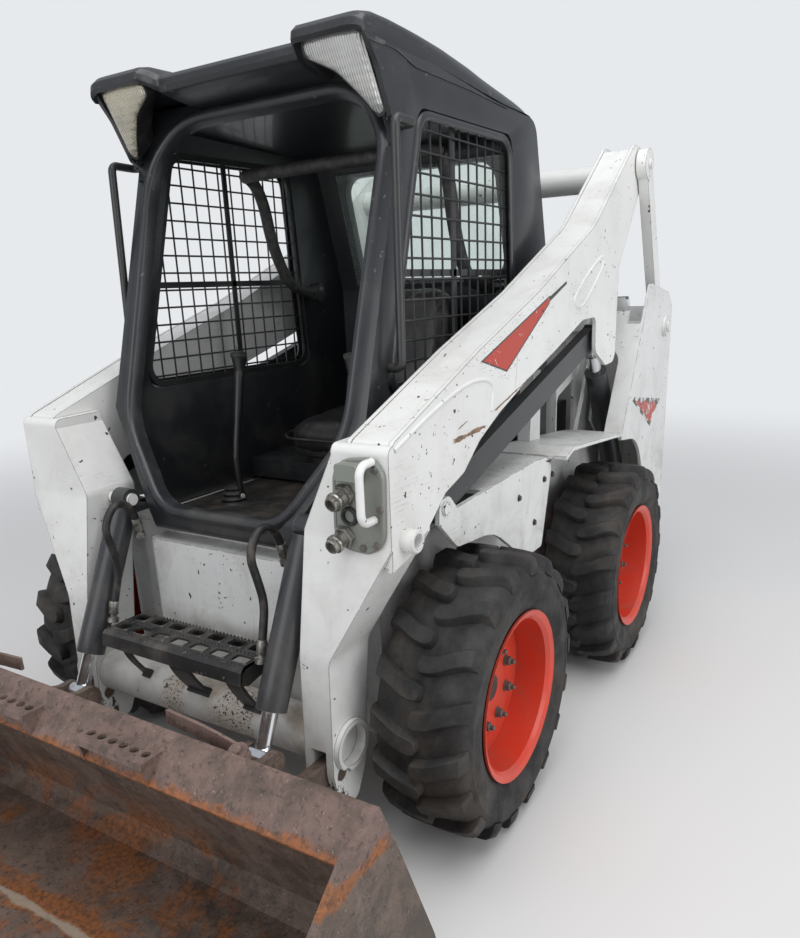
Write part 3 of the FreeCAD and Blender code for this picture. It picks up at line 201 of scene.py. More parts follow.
scratches, given, result = effect("scratches", [("Scale", "Float", 6.0), ("Amount", "Float", 0.3)], [("Mask", "Float")])
lines = 0.0
for turn, stretch in ((0.5, 26.0), (-0.9, 34.0)):
    fine = clouds(place_on((1.0, stretch, stretch), (0.4, turn, 0.2)), given["Scale"], 2.0, 0.5)
    thin = fade(unsigned(less(fine, 0.5)), 0.012, 0.004)
    lines = most(thin, lines)
patch = fade(clouds(place_on(), 3.5, 3.0), 0.52, 0.66)
join(result["Mask"], times(lines, patch, given["Amount"]))

chips, given, result = effect("chips", [("Amount", "Float", 0.3)], [("Mask", "Float")])
spot = place_on()
crowd = fade(clouds(spot, 4.0, 4.0, 0.7), 0.46, 0.70)
small = fade(clouds(spot, 80.0, 2.0, 0.5, 0.4), 0.690, 0.712)
larger = fade(clouds(spot, 30.0, 3.0, 0.6, 0.5), 0.712, 0.728)
few = fade(clouds(spot, 48.0, 1.0, 0.5), 0.765, 0.78)
dots = most(times(most(small, larger), crowd), few)
join(result["Mask"], fade(times(dots, given["Amount"]), 0.12, 0.3))


def new_material(name, roughness=0.5, **constants):
    """A material with its shader's plain values set; gives the material and the shader's inputs."""
    global tree
    material = bpy.data.materials.new(name)
    material.use_nodes = True
    tree = material.node_tree
    skin = tree.nodes["Principled BSDF"].inputs
    for socket, value in dict(constants, Roughness=roughness).items():
        join(skin[socket.replace("_", " ")], value)
    return material, skin


def roughened(skin, height, strength, distance):
    """Bumps a surface by a height."""
    bump = step("Bump")[0].node
    for socket, value in (("Strength", strength), ("Distance", distance), ("Height", height)):
        join(bump.inputs[socket], value)
    join(skin["Normal"], bump.outputs[0])


def painted(name, colour, under, film=(0.23, 0.19, 0.14), dirt=0.4, wear=0.5, radius=0.004, scratch=0.3,
            roughness=0.42, low=0.3, high=1.2, chip=0.0, marks=None):
    """Paint over steel: its own slight clouding, then chips and scratches to the undercoat, then film."""
    material, skin = new_material(name, Coat_Weight=0.12)
    spot = place_on()
    base = mixed(fade(clouds(spot, 2.3), 0.3, 0.7), [c * 0.92 for c in colour], colour)
    if marks:
        base = marks(spot, base)
    bare = most(step("Group", radius, wear, node_tree=edge_wear)[0],
                step("Group", None, scratch, node_tree=scratches)[0])
    if chip:
        bare = most(bare, step("Group", chip, node_tree=chips)[0])
    deep = mixed(fade(clouds(spot, 22.0, 5.0, 0.7), 0.45, 0.65), under, [c * 0.5 for c in under])
    dust = step("Group", mixed(bare, base, deep), film, dirt, low, high, node_tree=grime)
    join(skin["Base Color"], dust["Colour"])
    join(skin["Roughness"], plus(times(dust["Mask"], 0.4), roughness, times(bare, 0.2)))
    waves = plus(times(clouds(spot, 420.0, 2.0, 0.5), 0.12), times(clouds(spot, 9.0, 3.0, 0.5), 1.2))
    roughened(skin, less(waves, times(bare, 0.35)), 0.35, 0.0012)
    return material


def clouded(name, first, second, scale, detail=4.0, low=0.4, high=0.7, **constants):
    """A material whose colour drifts between two on a cloudy noise; gives the material and the shader's inputs."""
    material, skin = new_material(name, **constants)
    join(skin["Base Color"], mixed(fade(clouds(place_on(), scale, detail), low, high), first, second))
    return material, skin


def dress(material, *names):
    """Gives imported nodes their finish."""
    for name in names:
        slots = nodes[name].data.materials
        slots.clear()
        slots.append(material)


def off_line(spot, start, end):
    """How far a place (x, z) lies to the left of a line from start to end."""
    run = np.array(end, float) - np.array(start, float)
    normal = np.array((-run[1], run[0])) / np.linalg.norm(run)
    reach = step("VectorMath", spot, (normal[0], 0.0, normal[1]), operation="DOT_PRODUCT")["Value"]
    return less(reach, float(normal @ np.array(start, float)))


def inside(spot, corners, margin=0.0):
    """One within a polygon (x, z) that turns left, grown by a margin; nought outside."""
    mask = 1.0
    for start, end in zip(corners, corners[1:] + corners[:1]):
        edge = fade(off_line(spot, start, end), -margin - 0.0006, -margin + 0.0006)
        mask = edge if mask == 1.0 else times(mask, edge)
    return mask


def outer_side(spot, limit):
    """One on faces further out than a distance from the middle."""
    return fade(unsigned(step("SeparateXYZ", spot)["Y"]), limit, limit + 0.001)


def scrape(spot, start, end, width):
    """A ragged rubbed line between two places (x, z)."""
    run = np.array(end, float) - np.array(start, float)
    length = float(np.linalg.norm(run))
    across = unsigned(off_line(spot, start, end))
    reach = step("VectorMath", spot, (run[0] / length, 0.0, run[1] / length), operation="DOT_PRODUCT")["Value"]
    reach = less(reach, float(run @ np.array(start, float) / length))
    middle = unsigned(less(reach, length / 2))
    ragged = plus(times(clouds(place_on((1.0, 1.0, 2.5)), 22.0, 6.0, 0.75), width * 2.4), -width * 0.75)
    near = fade(less(ragged, across), -0.0006, 0.0006)
    return times(near, fade(middle, length / 2, length / 2 - 0.02))


def frame_marks(spot, base):
    """The torn end of the stripe on each upright, black under red."""
    out = outer_side(spot, 0.668)
    wedge = [(-0.985, 0.958), (-1.330, 0.908), (-1.222, 0.838)]
    torn = fade(clouds(place_on((1.0, 1.0, 1.6)), 26.0, 5.0, 0.7), 0.44, 0.47)
    under = times(inside(spot, wedge, 0.014), fade(clouds(spot, 21.0, 4.0, 0.7), 0.47, 0.50))
    base = mixed(times(under, out), base, (0.022, 0.02, 0.02))
    return mixed(times(inside(spot, wedge), torn, out), base, (0.44, 0.030, 0.010))


frame_white = painted("white frame paint", (0.70, 0.705, 0.69), (0.05, 0.045, 0.04), dirt=0.5, wear=0.45, chip=0.9,
                      marks=frame_marks)
dress(frame_white, "main_frame", "side_frame_left", "side_frame_right", "tailgate")

# Rear end: a black folded bumper, a black louvred grille over the engine, and the iron engine itself.
black_paint = painted("black paint", (0.018, 0.018, 0.019), (0.16, 0.12, 0.09), film=(0.17, 0.14, 0.11), dirt=0.3,
                      wear=0.25, radius=0.002, scratch=0.15, roughness=0.45)
dress(black_paint, "rear_bumper", "rear_grille", "axle_housings")
engine_iron = painted("engine iron", (0.05, 0.05, 0.052), (0.13, 0.10, 0.08), film=(0.09, 0.07, 0.05), dirt=0.8,
                      wear=0.3)
dress(engine_iron, "engine_block")

# Wheels: bias-ply rubber with two staggered rows of bent bars, on a deep red-orange steel rim that
# eight nuts hold to the hub.
def merged(mesh, outwards=False):
    """Merges a mesh's doubled points, and turns its faces outwards where asked."""
    tidy = bmesh.new()
    tidy.from_mesh(mesh)
    bmesh.ops.remove_doubles(tidy, verts=tidy.verts, dist=1e-5)
    if outwards:
        bmesh.ops.recalc_face_normals(tidy, faces=tidy.faces)
    tidy.to_mesh(mesh)
    tidy.free()


def finished(mesh, finish, sharp=None):
    """Gives a mesh its finish and smooth faces, with hard edges from an angle in degrees."""
    mesh.materials.clear()
    mesh.materials.append(finish)
    mesh.polygons.foreach_set("use_smooth", np.ones(len(mesh.polygons), bool))
    if sharp:
        mesh.set_sharp_from_angle(angle=math.radians(sharp))
    mesh.update()


def carried(holder, body):
    """Links an object to the scene, on its body."""
    scene.collection.objects.link(holder)
    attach(holder, body)
    return holder


def piece(name, points, faces, finish, body, slot, sharp=32):
    """Rows of four corner numbers over an array of points, with its poles closed and faces outwards."""
    mesh = bpy.data.meshes.new(name)
    points = np.ascontiguousarray(points, np.float32).reshape(-1, 3)
    faces = np.ascontiguousarray(faces, np.int32).reshape(-1, 4)
    mesh.vertices.add(len(points))
    mesh.vertices.foreach_set("co", points.ravel())
    mesh.loops.add(faces.size)
    mesh.loops.foreach_set("vertex_index", faces.ravel())
    mesh.polygons.add(len(faces))
    mesh.polygons.foreach_set("loop_start", np.arange(0, faces.size, 4, dtype=np.int32))
    mesh.update(calc_edges=True)
    merged(mesh, outwards=True)
    finished(mesh, finish, sharp)
    return carried(bpy.data.objects.new(name, mesh), body)


def skin_of(points, around=True, ends=True):
    """Closes a stack of grids (copies, along, around): the ends shut at their middles, the last point
    of each ring joined to the first. Gives the points and the rows of corner numbers."""
    if ends:
        middle = points.mean(axis=2, keepdims=True) * np.ones_like(points)
        points = np.concatenate([middle[:, :1], points, middle[:, -1:]], axis=1)
    count = np.arange(points[..., 0].size).reshape(points.shape[:3])
    if around:
        count = np.concatenate([count, count[:, :, :1]], axis=2)
    faces = np.stack([count[:, :-1, :-1], count[:, 1:, :-1], count[:, 1:, 1:], count[:, :-1, 1:]], axis=-1)
    return points.reshape(-1, 3), faces.reshape(-1, 4)


def together(*skins):
    """Several skins as one: the points end to end, the corner numbers shifted to match."""
    shifts = np.cumsum([0] + [len(points) for points, faces in skins[:-1]])
    return (np.concatenate([points for points, faces in skins]),
            np.concatenate([faces + shift for (points, faces), shift in zip(skins, shifts)]))


def turned(rows, spots, axis, sides=24):
    """Rows of (radius, height) carried round an axis at each spot:
    spot + height * axis + radius * (cos t * u + sin t * v), with u and v square to the axis."""
    rows = np.array(rows, float)
    axis = np.array(axis, float) / np.linalg.norm(axis)
    u = np.cross(axis, (0, 0, 1) if abs(axis[2]) < 0.9 else (1, 0, 0))
    u = u / np.linalg.norm(u)
    t = np.linspace(0, 2 * math.pi, sides, endpoint=False)[:, None]
    ring = np.cos(t) * u + np.sin(t) * np.cross(axis, u)
    spots = np.array(spots, float).reshape(-1, 1, 1, 3)
    return spots + rows[None, :, 1, None, None] * axis + rows[None, :, 0, None, None] * ring


axle_x = {"front": 0.310, "rear": -0.775}
tyre_top = 0.377
bar_count = 18
nut_circle = 0.1016
wheel_middle, hub_face = 0.644, 0.672
both_sides = (("left", 1), ("right", -1))


def tyre_skin(x, y, sign):
    """Carcass: a half section of (radius, width) mirrored and carried round the axle with a shallow
    crown. Bars: each a bent centre line from the shoulder to past the middle; at each station a row of
    points across it at angle phi + offset / radius, lifted to the tread's radius and sloped at its flanks."""
    half = np.array([(0.207, 0.094), (0.214, 0.106), (0.222, 0.108), (0.240, 0.117), (0.262, 0.1245), (0.285, 0.127),
                     (0.304, 0.1265), (0.3065, 0.1278), (0.311, 0.1278), (0.3135, 0.126), (0.328, 0.121),
                     (0.337, 0.113), (0.345, 0.100), (0.350, 0.07), (0.3525, 0.03)])
    section = np.concatenate([half, half[::-1] * (1, -1)])
    t = np.linspace(0, 2 * math.pi, 144, endpoint=False)
    ring = np.stack([np.cos(t)[:, None] * section[:, 0], np.ones((144, 1)) * section[:, 1],
                     np.sin(t)[:, None] * section[:, 0]], axis=-1)[None]
    ring = np.concatenate([ring, ring[:, :1]], axis=1)
    carcass = skin_of(ring, around=True, ends=False)
    # station: width from the middle, run round the tread, top radius, half width at the top, at the foot
    stations = np.array([(0.1255, 0.000, 0.326, 0.024, 0.027), (0.1235, 0.000, 0.346, 0.0225, 0.028),
                         (0.117, 0.001, 0.3625, 0.021, 0.029), (0.105, 0.004, 0.3705, 0.0195, 0.028),
                         (0.080, 0.014, 0.3745, 0.019, 0.028), (0.056, 0.026, 0.3763, 0.019, 0.028),
                         (0.036, 0.035, 0.3769, 0.019, 0.028), (0.016, 0.039, 0.377, 0.019, 0.028),
                         (0.003, 0.040, 0.377, 0.0185, 0.027), (-0.005, 0.040, 0.3768, 0.015, 0.024),
                         (-0.0095, 0.040, 0.3755, 0.008, 0.018), (-0.0135, 0.040, 0.349, 0.006, 0.010)])
    wide, run, top, crest, foot = stations.T
    base = np.minimum(top - 0.002, 0.343 - 0.10 * np.clip(np.abs(wide) - 0.085, 0, 1) * 4)
    across = np.stack([-foot, -crest - 0.002, -crest + 0.001, crest - 0.001, crest + 0.002, foot], axis=1)
    lift = np.stack([base, top - 0.0035, top, top, top - 0.0035, base], axis=1)
    copies = []
    for row in (1, -1):
        start = 2 * math.pi * (np.arange(bar_count) + (0.5 if row < 0 else 0.0)) / bar_count
        phi = start[:, None, None] - (run[None, :, None] + across[None]) / 0.36
        copies.append(np.stack([np.cos(phi) * lift[None], row * wide[None, :, None] + 0 * phi,
                                np.sin(phi) * lift[None]], axis=-1))
    bars = skin_of(np.concatenate(copies))
    points, faces = together(carcass, bars)
    return points * (1, sign, 1) + (x, y, tyre_top), faces


rubber, skin = new_material("tyre rubber", 0.7, Specular_IOR_Level=0.35)
spot = place_on()
worn_rubber = mixed(fade(clouds(spot, 9.0, 6.0, 0.65), 0.35, 0.7), (0.013, 0.013, 0.014), (0.040, 0.038, 0.036))
dusty = mixed(times(fade(clouds(spot, 5.0, 8.0, 0.7, 0.4), 0.45, 0.75), 0.55), worn_rubber, (0.105, 0.083, 0.062))
fine = fade(clouds(spot, 150.0, 3.0, 0.7), 0.62, 0.75)
join(skin["Base Color"], mixed(times(fine, 0.25), dusty, (0.13, 0.115, 0.095)))
join(skin["Roughness"], fade(clouds(spot, 14.0, 4.0), 0.3, 0.7, 0.55, 0.85))
roughened(skin, clouds(spot, 130.0, 6.0, 0.75), 0.4, 0.0012)

rim_red = painted("red-orange rim paint", (0.62, 0.045, 0.018), (0.12, 0.06, 0.04), film=(0.20, 0.13, 0.10), dirt=0.3,
                  wear=0.4, radius=0.003, scratch=0.5, roughness=0.38, low=0.1, high=0.8)
nut_steel = painted("nut steel", (0.10, 0.095, 0.09), (0.20, 0.10, 0.05), film=(0.16, 0.10, 0.06), dirt=0.6, wear=0.3,
                    radius=0.001)
nut_rows = [(0.0165, 0.0), (0.0165, 0.003), (0.0125, 0.003), (0.0125, 0.016), (0.0105, 0.018), (0.0065, 0.018),
            (0.0065, 0.027), (0.005, 0.029)]
for end in ("front", "rear"):
    for side, sign in both_sides:
        body = "wheel_%s_%s" % (end, side)
        x = axle_x[end]
        tyre = piece("tyre_dressed_%s_%s" % (end, side), *tyre_skin(x, sign * wheel_middle, sign), rubber, body,
                     "tyre_rubber")
        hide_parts("tyre_%s_%s" % (end, side))
        dress(rim_red, "rim_%s_%s" % (end, side))
        angle = math.radians(22.5) + np.arange(8) * math.pi / 4
        spots = np.stack([x + nut_circle * np.cos(angle), np.full(8, sign * hub_face),
                          tyre_top + nut_circle * np.sin(angle)], axis=1)
        piece("wheel_nuts_%s_%s" % (end, side), *skin_of(turned(nut_rows, spots, (0, sign, 0), 12)), nut_steel, body,
              "worn_steel")

# Steering levers: black bent tubes with rubber boots at their feet and moulded black grips.
lever_black = painted("lever black", (0.008, 0.008, 0.009), (0.10, 0.10, 0.09), film=(0.08, 0.07, 0.06), dirt=0.2,
                      wear=0.4, radius=0.002, scratch=0.1)
dress(lever_black, "steering_lever_left", "steering_lever_right")
grip_rubber, skin = clouded("grip rubber", (0.015, 0.015, 0.016), (0.05, 0.047, 0.043), 40.0, roughness=0.6)
roughened(skin, step("TexVoronoi", place_on(), None, 700.0)[0], 0.5, 0.0008)


def swept(path, section, facing, closed=True, size=1.0):
    """A section (out, up) carried along a path: path + size * (out * sideways + up * facing), where sideways
    is square to the path and to the facing."""
    way = np.roll(path, -1, 0) - np.roll(path, 1, 0) if closed else np.gradient(path, axis=0)
    way = way / np.linalg.norm(way, axis=1, keepdims=True)
    aside = np.cross(way, np.broadcast_to(np.asarray(facing, float), path.shape))
    aside = aside / np.linalg.norm(aside, axis=1, keepdims=True)
    up = np.cross(aside, way)
    section = np.array(section, float)
    size = np.broadcast_to(np.asarray(size, float), (len(path),))[:, None, None]
    grid = path[:, None] + size * (section[None, :, :1] * aside[:, None] + section[None, :, 1:] * up[:, None])
    return skin_of(np.concatenate([grid, grid[:1]])[None], ends=False) if closed else skin_of(grid[None])


def tube(path, radius, sides=14, closed=False, facing=(0.31, 0.17, 0.93)):
    """A round section of one radius, or of one for each point, carried along a path."""
    t = np.linspace(0, 2 * math.pi, sides, endpoint=False)
    return swept(path, np.stack([np.cos(t), np.sin(t)], axis=1), facing, closed, radius)


def smooth_path(corners, count=80, rounds=4):
    """An open line with its corners worn down: each round puts points at a quarter and three quarters of
    every run, then the line is set at even steps."""
    line = np.array(corners, float)
    for _ in range(rounds):
        cut = np.stack([line[:-1] * 0.75 + line[1:] * 0.25, line[:-1] * 0.25 + line[1:] * 0.75], axis=1)
        line = np.concatenate([line[:1], cut.reshape(-1, line.shape[1]), line[-1:]])
    run = np.concatenate([[0], np.cumsum(np.linalg.norm(np.diff(line, axis=0), axis=1))])
    stops = np.linspace(0, run[-1], count)
    return np.stack([np.interp(stops, run, line[:, k]) for k in range(line.shape[1])], axis=1)


boot_rows = [(0.046, 0.0), (0.046, 0.006), (0.036, 0.014), (0.042, 0.022), (0.031, 0.030), (0.036, 0.038),
             (0.025, 0.046), (0.029, 0.054), (0.014, 0.062)]
grip_rows = [(0.012, -0.004), (0.017, -0.001), (0.0175, 0.012), (0.0165, 0.022), (0.0205, 0.030), (0.0245, 0.038),
             (0.0255, 0.044), (0.0235, 0.049), (0.016, 0.0525), (0.008, 0.0535)]
for side, sign in both_sides:
    sleeve = smooth_path([(0.259, sign * 0.207, 0.838), (0.266, sign * 0.207, 0.925), (0.232, sign * 0.208, 1.070),
                          (0.209, sign * 0.210, 1.182)], 30)
    thick = np.interp(np.linspace(0, 1, 30), (0, 0.05, 0.55, 0.62, 0.97, 1),
                      (0.0095, 0.011, 0.0115, 0.0135, 0.0145, 0.012))
    piece("lever_sleeve_" + side, *tube(sleeve, thick), lever_black, "steering_lever_" + side, "grip_plastic", sharp=60)
    piece("lever_boot_" + side, *skin_of(turned(boot_rows, [(0.262, sign * 0.235, 0.7705)], (0, 0, 1), 28)),
          grip_rubber, "root", "grip_plastic")
    piece("lever_grip_" + side, *skin_of(turned(grip_rows, [(0.206, sign * 0.210, 1.185)], (0, 0, 1), 28)),
          grip_rubber, "steering_lever_" + side, "grip_plastic")

# Cab: a welded steel frame with a rolled roof, sprayed satin charcoal, that has faded and gathered dust.
# The doorway is cut with large corners, and a rolled lip stands round it.
charcoal = painted("charcoal cab paint", (0.016, 0.018, 0.021), (0.11, 0.105, 0.10), film=(0.10, 0.093, 0.080),
                   dirt=0.36, wear=0.3, radius=0.003, scratch=0.35, roughness=0.36, low=0.7, high=1.5, chip=0.5)


def rounded(corners, turns=8):
    """A closed line through corners (y, z, radius), each corner cut by an arc from tangent to tangent."""
    corners = np.array(corners, float)
    spots, radii = corners[:, :2], corners[:, 2]
    line = []
    for spot, before, after, radius in zip(spots, np.roll(spots, 1, 0), np.roll(spots, -1, 0), radii):
        back = (before - spot) / np.linalg.norm(before - spot)
        on = (after - spot) / np.linalg.norm(after - spot)
        half = math.acos(np.clip(back @ on, -1, 1)) / 2
        middle = spot + (back + on) / np.linalg.norm(back + on) * radius / math.sin(half)
        start = spot + back * radius / math.tan(half) - middle
        end = spot + on * radius / math.tan(half) - middle
        share = np.linspace(0, 1, turns)[:, None]
        arc = start * (1 - share) + end * share
        line.append(middle + arc / np.linalg.norm(arc, axis=1, keepdims=True) * radius)
    return np.concatenate(line)


def along(line, spacing):
    """The same closed line at even steps."""
    loop = np.concatenate([line, line[:1]])
    run = np.concatenate([[0], np.cumsum(np.linalg.norm(np.diff(loop, axis=0), axis=1))])
    stops = np.linspace(0, run[-1], int(run[-1] / spacing), endpoint=False)
    return np.stack([np.interp(stops, run, loop[:, k]) for k in range(loop.shape[1])], axis=1)


def loops(lines):
    """A closed solid lofted through rings of equal count, shut at both ends."""
    return skin_of(np.array(lines)[None])


def stacked(line, rows, axis=0, middle=None):
    """A solid lofted through copies of a flat closed outline: middle + (line - middle) * share for each row of
    (height, share), with the height put in as coordinate number axis."""
    middle = line.mean(axis=0) if middle is None else middle
    return loops([np.insert(middle + (line - middle) * share, axis, height, axis=1) for height, share in rows])


def settle(holder):
    """Applies an object's modifiers to its mesh."""
    mesh = bpy.data.meshes.new_from_object(holder.evaluated_get(bpy.context.evaluated_depsgraph_get()))
    holder.modifiers.clear()
    holder.data = mesh
    return mesh


doorway = rounded([(0.392, 1.862, 0.17), (0.378, 1.070, 0.22), (0.205, 0.846, 0.13), (-0.205, 0.846, 0.13),
                   (-0.378, 1.070, 0.22), (-0.392, 1.862, 0.17)])
cutter = piece("cab_cutter", *stacked(doorway, [(0.0, 1.0), (0.62, 1.0)]), charcoal, "cab", "charcoal")
shell = nodes["cab_shell"].copy()
shell.data = nodes["cab_shell"].data.copy()
shell.name = "cab_frame"
merged(shell.data)
carried(shell, "cab")
opened = shell.modifiers.new("doorway", "BOOLEAN")
opened.operation = "DIFFERENCE"
opened.object = cutter
opened.solver = "EXACT"
eased = shell.modifiers.new("eased", "BEVEL")
eased.width = 0.007
eased.segments = 2
eased.limit_method = "ANGLE"
eased.angle_limit = math.radians(40)
settle(shell)
finished(shell.data, charcoal, 30)
bpy.data.objects.remove(cutter)
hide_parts("cab_shell")


def front_of_cab(line, lift=0.0):
    """Points (y, z) laid on the cab's bent front: two planes that meet at the sill's bend."""
    z = line[:, 1]
    x = np.minimum(0.515 + (1.035 - z) * 57 / 185, 0.572)
    x = np.where(z > 1.035, 0.25 + (1.905 - z) * 265 / 870, x)
    return np.column_stack([x + lift, line])


ring = along(doorway, 0.03)
lip = [(-0.002, -0.034), (0.004, -0.034), (0.005, -0.002), (-0.001, 0.006), (-0.007, 0.0095), (-0.016, 0.009),
       (-0.023, 0.003), (-0.031, -0.004), (-0.012, -0.030)]
piece("doorway_lip", *swept(front_of_cab(ring), lip, (0.957, 0, 0.29)), charcoal, "cab", "charcoal", sharp=50)

# Roof: one pressed sheet whose front rolls down into a visor, between two moulded hoods over the lamps.
def roof_rows(y):
    """The roof's side line (x, z) at y, carried from the visor's form to the hood's by a smooth step in |y|,
    and lowered round the roof's long edges on a quarter circle."""
    visor = np.array([(-0.538, 1.888), (-0.541, 1.905), (-0.516, 1.919), (-0.39, 1.936), (-0.10, 1.966), (0.06, 1.972),
                      (0.20, 1.966), (0.31, 1.960), (0.350, 1.956), (0.376, 1.949), (0.389, 1.937), (0.391, 1.922),
                      (0.380, 1.910), (0.350, 1.901), (0.30, 1.893), (0.256, 1.888), (0.10, 1.885), (-0.30, 1.885)])
    hood = np.array([(-0.538, 1.888), (-0.541, 1.905), (-0.516, 1.919), (-0.39, 1.936), (-0.10, 1.966), (0.06, 1.973),
                     (0.20, 1.974), (0.32, 1.974), (0.385, 1.972), (0.418, 1.965), (0.434, 1.952), (0.437, 1.936),
                     (0.428, 1.928), (0.416, 1.930), (0.39, 1.934), (0.30, 1.930), (0.15, 1.900), (-0.30, 1.885)])
    fine = np.linspace(0, len(visor) - 1, 4 * len(visor) - 3)
    visor, hood = (np.stack([np.interp(fine, np.arange(len(line)), line[:, k]) for k in (0, 1)], axis=1)
                   for line in (visor, hood))
    share = np.clip((np.abs(y) - 0.222) / 0.034, 0, 1)
    share = (share * share * (3 - 2 * share))[:, None, None]
    line = visor[None] * (1 - share) + hood[None] * share
    edge = np.clip((np.abs(y) - 0.372) / 0.070, 0, 1)[:, None]
    front = np.clip((line[..., 0] + 0.20) / 0.55, 0, 1)
    front = front * front * (3 - 2 * front)
    bend = 1 - (1 - edge ** (2 + 3 * front)) ** 0.5
    corner = 1 - 0.05 * np.clip((-0.45 - line[..., 0]) / 0.09, 0, 1) ** 2
    over = np.clip((line[..., 1] - 1.890) / 0.02, 0, 1)
    lowered = np.maximum(line[..., 1] - (0.056 - 0.036 * front) * bend * over, np.minimum(line[..., 1], 1.892))
    return np.stack([line[..., 0] - 0.012 * bend * front, y[:, None] * corner, lowered], axis=-1)


half_roof = np.concatenate([np.linspace(0, 0.215, 10), np.linspace(0.222, 0.256, 7), np.linspace(0.27, 0.37, 6),
                            0.372 + 0.070 * np.sin(np.linspace(0, math.pi / 2, 9))])
roof = piece("roof_skin", *skin_of(roof_rows(np.concatenate([-half_roof[:0:-1], half_roof]))[None]), charcoal, "cab",
             "charcoal", sharp=50)
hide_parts("cab_roof")
for side, sign in both_sides:
    cheek = rounded([(0.245, 1.915, 0.004), (0.285, 1.762, 0.006), (0.322, 1.768, 0.02), (0.374, 1.868, 0.12),
                     (0.420, 1.925, 0.02), (0.414, 1.944, 0.012), (0.30, 1.938, 0.02)], 5)
    rows = [(sign * 0.4275, 1.0), (sign * 0.4385, 1.0), (sign * 0.4405, 0.985)]
    piece("lamp_cheek_" + side, *stacked(cheek, rows, 1), charcoal, "cab", "charcoal", sharp=45)

# Lamps: a clear moulded lens with fine upright ribs, bulged in front of a silvered bowl, in a black rim.
def lamp_material(name, clear, hazy, share):
    """Ribbed lens: bands across Y, painted lighter as highlights, over a silvery ground mottled with painted
    reflections; yellowed where the plastic has crazed.
    """
    material, skin = new_material(name, 0.12, Coat_Weight=0.7, Specular_IOR_Level=0.7)
    spot = place_on()
    ribs = step("TexWave", spot, 48.0, 0.4, 2.0, 1.0, 0.6, wave_type="BANDS", bands_direction="Y")[1]
    cross = step("TexWave", spot, 20.0, 0.4, 2.0, 1.0, 0.6, wave_type="BANDS", bands_direction="Z")[1]
    # Painted reflection: cloudy light and dark patches stand for the silvered reflector seen through the lens.
    painted_bowl_reflection = fade(clouds(spot, 9.0, 3.0, 0.5, 0.8), 0.35, 0.65)
    haze = times(fade(clouds(spot, 14.0, 5.0), 0.3, 0.65), share)
    silver_with_painted_light = mixed(painted_bowl_reflection, clear, [c * 0.5 for c in clear])
    # Painted highlight: the ribs are coloured lighter than the ground between them.
    silver_with_painted_light = mixed(times(ribs, 0.6), silver_with_painted_light, [min(c * 1.35, 0.9) for c in clear])
    join(skin["Base Color"], mixed(haze, silver_with_painted_light, hazy))
    join(skin["Metallic"], fade(haze, 0.0, 1.0, 0.55, 0.0))
    join(skin["Roughness"], fade(haze, 0.0, 1.0, 0.16, 0.45))
    roughened(skin, plus(ribs, times(cross, 0.3)), 0.8, 0.0025)
    return material


lens_clear = lamp_material("clear lamp lens", (0.52, 0.53, 0.53), (0.60, 0.58, 0.52), 0.45)
lens_yellow = lamp_material("yellowed lamp lens", (0.50, 0.47, 0.38), (0.56, 0.51, 0.38), 1.0)
rim_rubber, skin = clouded("lamp rim rubber", (0.012, 0.012, 0.013), (0.04, 0.038, 0.035), 30.0, roughness=0.55)
lens_line = rounded([(0.262, 1.906, 0.012), (0.263, 1.934, 0.015), (0.345, 1.940, 0.10), (0.421, 1.932, 0.016),
                     (0.4225, 1.862, 0.10), (0.4255, 1.788, 0.012), (0.404, 1.779, 0.012), (0.374, 1.822, 0.12),
                     (0.330, 1.872, 0.06)], 7)


def lens_rows(sign, shares, lift):
    """Rings of the lens's outline drawn in towards its middle by each share and lifted off its slanted plane."""
    middle = np.array([0.372, 1.888])
    rings = []
    for share, up in zip(shares, lift):
        flat = middle + (along(lens_line, 0.008) - middle) * share
        x = 0.405 - (1.925 - flat[:, 1]) * 81 / 147
        rings.append(np.column_stack([x + up * 0.876, sign * flat[:, 0], flat[:, 1] - up * 0.483]))
    return rings


for side, sign, finish in (("left", 1, lens_clear), ("right", -1, lens_yellow)):
    rings = lens_rows(sign, (1.0, 1.0, 0.94, 0.8, 0.6, 0.3), (-0.03, 0.0, 0.005, 0.008, 0.0095, 0.010))
    lens = piece("lamp_lens_" + side, *loops(rings), finish, "cab", "clear_lens", sharp=50)
    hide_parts("work_lamp_" + side)
    rings = lens_rows(sign, (0.9, 1.045, 1.055, 1.045, 0.99), (-0.075, -0.03, -0.004, 0.002, 0.001))
    piece("lamp_housing_" + side, *loops(rings), rim_rubber, "cab", "black_paint", sharp=50)

# Screens: welded round-wire grids in a flat rim, with a heavier bar each way, painted black.
wire_black = painted("screen black", (0.016, 0.017, 0.018), (0.16, 0.11, 0.08), film=(0.16, 0.14, 0.11), dirt=0.35,
                     wear=0.2, radius=0.001, scratch=0.0, roughness=0.42)
dress(wire_black, "seat_bar", "grab_handles")
screen_y, cab_wall = 0.4165, 0.4395
window_line = rounded([(0.200, 1.812, 0.07), (0.402, 1.140, 0.06), (-0.390, 1.140, 0.06), (-0.350, 1.821, 0.07)], 7)
wire_rows = [(0.0029 * math.cos(a), 0.0029 * math.sin(a)) for a in np.linspace(0, 2 * math.pi, 6, endpoint=False)]


def span_at(line, level, axis):
    """Where a straight line across the window at a level meets its outline."""
    loop = np.concatenate([line, line[:1]])
    low, high = loop[:-1], loop[1:]
    share = (level - low[:, axis]) / np.where(high[:, axis] == low[:, axis], 1e9, high[:, axis] - low[:, axis])
    met = (share >= 0) & (share < 1)
    spots = low[met, 1 - axis] + share[met] * (high[met, 1 - axis] - low[met, 1 - axis])
    return spots.min(), spots.max()


def flat_bar(thick, wide):
    """The section of a flat bar, from its half sizes."""
    return [(-thick, -wide), (thick, -wide), (thick, wide), (-thick, wide)]


def strand(level, axis, y, rows):
    """A wire across the window at a level, 4 mm short of its outline at each end."""
    low, high = span_at(window_line, level, axis)
    ends = [(level, y, reach) if axis == 0 else (reach, y, level) for reach in (low + 0.004, high - 0.004)]
    return swept(np.linspace(*ends, 2), rows, (0, 1, 0), closed=False)


